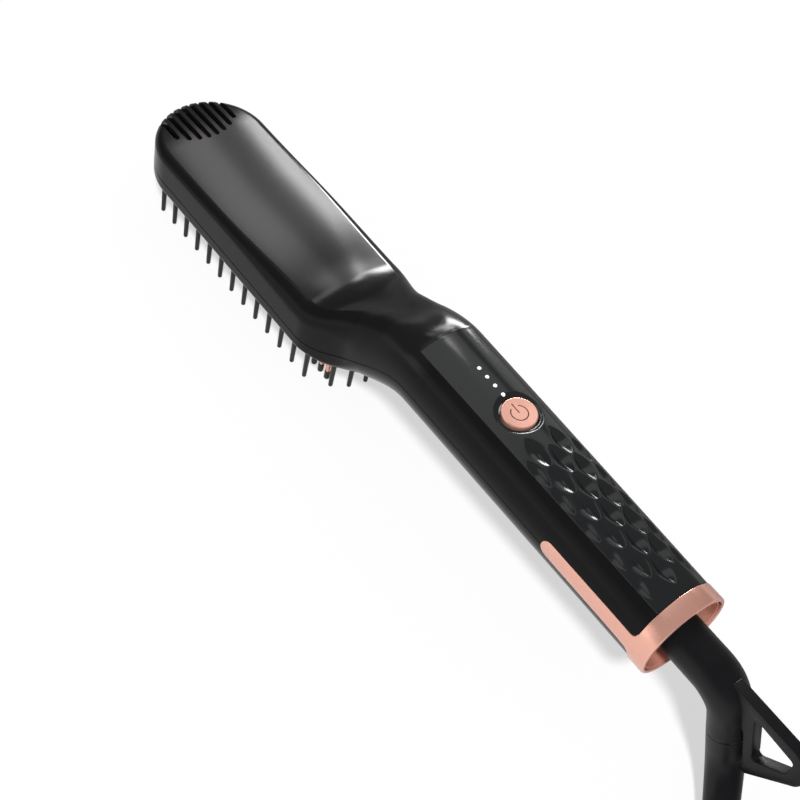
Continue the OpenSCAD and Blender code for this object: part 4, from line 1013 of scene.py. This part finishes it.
def changed(value, changes, turn):
    for start, end, new in changes:
        value = mix(value, new, gentle((turn - start) / (end - start)))
    return value


def on_hank(turn):
    """A place on the hank: each lap is a run, an end, a run and an end, one unit each."""
    r, z = changed(TRACK_OUT, TRACK_CHANGES, turn), changed(LAYERS[0], LAYER_CHANGES, turn)
    leg = turn % 4
    x0, x1 = HANK_X
    if leg < 1:
        return mix(x0, x1, leg), HANK_Y - r, z
    if leg < 2:
        a = math.pi * (leg - 1.5)
        return x1 + r * math.cos(a), HANK_Y + r * math.sin(a), z
    if leg < 3:
        return mix(x1, x0, leg - 2), HANK_Y + r, z
    a = math.pi * (leg - 2.5)
    return x0 + r * math.cos(a), HANK_Y + r * math.sin(a), z


# From the strain relief to the hank by three places
route = [tuple(at(*boot_point(BOOT_LEN)) / MM)]
route += [(128.4, -19.4, 3.52), (135.4, -21.6, 3.12), (142.4, -22.4, 3.02)]
route += [on_hank(k / QUARTER_POINTS) for k in range(QUARTER_POINTS * QUARTERS + 1)]
for k in range(1, SWING_POINTS + 1):
    b = SWING * k / SWING_POINTS
    route.append((HANK_X[0] + TRACK_IN * math.sin(b), HANK_Y - TRACK_IN * math.cos(b), LAYERS[3]))
x, y, z = route[-1]
for k in range(1, SWING_POINTS + 1):
    b = SWING * k / SWING_POINTS
    route.append((x + SWING_R * (math.sin(SWING) - math.sin(SWING - b)),
                  y + SWING_R * (math.cos(SWING - b) - math.cos(SWING)),
                  mix(z, PLUG_Z, gentle(k / SWING_POINTS))))
route.append((PLUG_X, HANK_Y, PLUG_Z))

line = bpy.data.curves.new("mains_cord", "CURVE")
line.dimensions = "3D"
line.bevel_depth = CORD_D / 2 * MM
line.bevel_resolution = 5
line.use_fill_caps = True
spline = line.splines.new("POLY")
spline.points.add(len(route) - 1)
for point, place in zip(spline.points, route):
    point.co = (*[c * MM for c in place], 1)
cord = bpy.data.objects.new("mains_cord", line)
bpy.context.scene.collection.objects.link(cord)
stands_for(cord, "swivel", cord_pvc, "cord_black", "power_cord", "cord_hank")


# -------------------- floor and light
WHITE = (1, 1, 1, 1)


def floor_finish():
    """White paper. The camera sees it partly by its own light, and so do mirroring surfaces: there it
    is white on the near side and falls off behind the object."""
    made = bpy.data.materials.new("white_paper_floor")
    tree = bare_tree(made)
    paper = add(tree, "ShaderNodeBsdfDiffuse", {"Color": linear("#fafafa")}).outputs["BSDF"]
    rays = add(tree, "ShaderNodeLightPath", {}).outputs
    where = add(tree, "ShaderNodeTexCoord", {}).outputs["Object"]
    across = add(tree, "ShaderNodeSeparateXYZ", {"Vector": where}).outputs["Y"]
    near = add(tree, "ShaderNodeMapRange", {
        "Value": across, "From Min": -0.02, "From Max": 0.04, "To Min": 1.0, "To Max": 0.05},
        interpolation_type="SMOOTHSTEP").outputs["Result"]
    mirrored = add(tree, "ShaderNodeMath", {0: rays["Is Glossy Ray"], 1: near},
                   operation="MULTIPLY").outputs["Value"]
    seen = add(tree, "ShaderNodeMath", {0: rays["Is Camera Ray"], 1: mirrored},
               operation="MAXIMUM").outputs["Value"]
    seen = add(tree, "ShaderNodeMath", {0: seen, 1: rays["Is Transmission Ray"]},
               operation="MAXIMUM").outputs["Value"]
    glow = add(tree, "ShaderNodeEmission", {"Color": WHITE, "Strength": seen}).outputs["Emission"]
    surface = add(tree, "ShaderNodeMixShader", {"Fac": 0.6, 1: paper, 2: glow}).outputs["Shader"]
    add(tree, "ShaderNodeOutputMaterial", {"Surface": surface})
    return made


deselect()
bpy.ops.mesh.primitive_plane_add(size=16, location=(0, 0, -0.2 * MM))
floor = bpy.context.object
floor.name = "floor"
floor.data.materials.append(floor_finish())

# The studio is white at the horizon and falls to grey overhead
world = bpy.data.worlds.new("studio")
bpy.context.scene.world = world
tree = bare_tree(world)
way = add(tree, "ShaderNodeTexCoord", {}).outputs["Generated"]
height = add(tree, "ShaderNodeSeparateXYZ", {"Vector": way}).outputs["Z"]
level = add(tree, "ShaderNodeMapRange", {
    "Value": height, "From Min": 0.02, "From Max": 0.14, "To Min": 1.0, "To Max": 0.18},
    interpolation_type="SMOOTHSTEP").outputs["Result"]
sky = add(tree, "ShaderNodeBackground", {"Color": WHITE, "Strength": level}).outputs["Background"]
add(tree, "ShaderNodeOutputWorld", {"Surface": sky})


def aimed(name, lamp, place, aim):
    holder = bpy.data.objects.new(name, lamp)
    bpy.context.scene.collection.objects.link(holder)
    place, aim = Vector(place), Vector(aim)
    turn = (aim - place).to_track_quat("-Z", "Y").to_matrix().to_4x4()
    holder.matrix_world = Matrix.Translation(place) @ turn
    return holder


def reflector(name, place, aim, size, radiance):
    """A lit panel that is only seen mirrored in the object's surfaces. Places and sizes in metres."""
    lamp = bpy.data.lights.new(name, "AREA")
    lamp.shape = "RECTANGLE"
    lamp.size, lamp.size_y = size
    lamp.energy = radiance * math.pi * size[0] * size[1]
    holder = aimed(name, lamp, place, aim)
    holder.visible_camera = holder.visible_diffuse = False


# The lid's height, and how far back along the comb its mirror image lies for each metre of distance
LID_Z, MIRROR_SLOPE = 0.027, 0.727


def lid_strip(name, low, high, far, start, end, radiance):
    """A reflector along the comb, far metres off, that the lid mirrors between two angles in degrees
    over the table's far side. start and end are the places along the comb at which its ends show."""
    middle, half = math.radians((low + high) / 2), math.radians((high - low) / 2)
    base = Vector(((start + end) / 2 * MM + TIP_X * MM - MIRROR_SLOPE * far, 0, LID_Z))
    place = base + Vector((0, math.cos(middle), math.sin(middle))) * far
    reflector(name, place, base, ((end - start) * MM, 2 * far * math.tan(half)), radiance)


key = bpy.data.lights.new("key", "SUN")
key.energy = 3.3
key.angle = math.radians(7)
aimed("key", key, (0.418, -0.366, 0.841), (0, 0, 0)).visible_glossy = False
# What the lid mirrors, from its far edge to its near edge
lid_strip("far_strip", 40.5, 46.9, 0.25, 11, 82, 11.5)
lid_strip("even_strip", 48.5, 69.8, 0.3, -8, 79, 0.85)
lid_strip("near_strip", 58, 69.8, 0.3, -8, 79, 1.6)
# What the neck's crest mirrors, from close by
reflector("crest_panel", (-0.082, 0.071, 0.107), (-0.008, 0, 0.043), (0.018, 0.016), 15)
reflector("crest_front_panel", (-0.07, 0.05, 0.131), (-0.007, -0.002, 0.043), (0.014, 0.012), 7)
reflector("crest_side_panel", (-0.055, 0.053, 0.137), (-0.004, 0, 0.043), (0.014, 0.01), 6)
# What the grip's top and its two sides mirror, and the ends of its hollows
reflector("overhead_strip", (-0.24, 0.04, 0.54), (-0.24, 0.04, 0), (0.22, 0.78), 0.95)
reflector("far_wall", (-0.21, 0.5, 0.29), (-0.21, 0, 0.29), (0.22, 0.32), 0.9)
reflector("near_wall", (-0.2, -0.5, 0.12), (-0.2, 0, 0.12), (0.36, 0.22), 0.9)
reflector("hollows_panel", (-0.15, 0.186, 0.116), (0.06, 0, 0.04), (0.11, 0.06), 24)
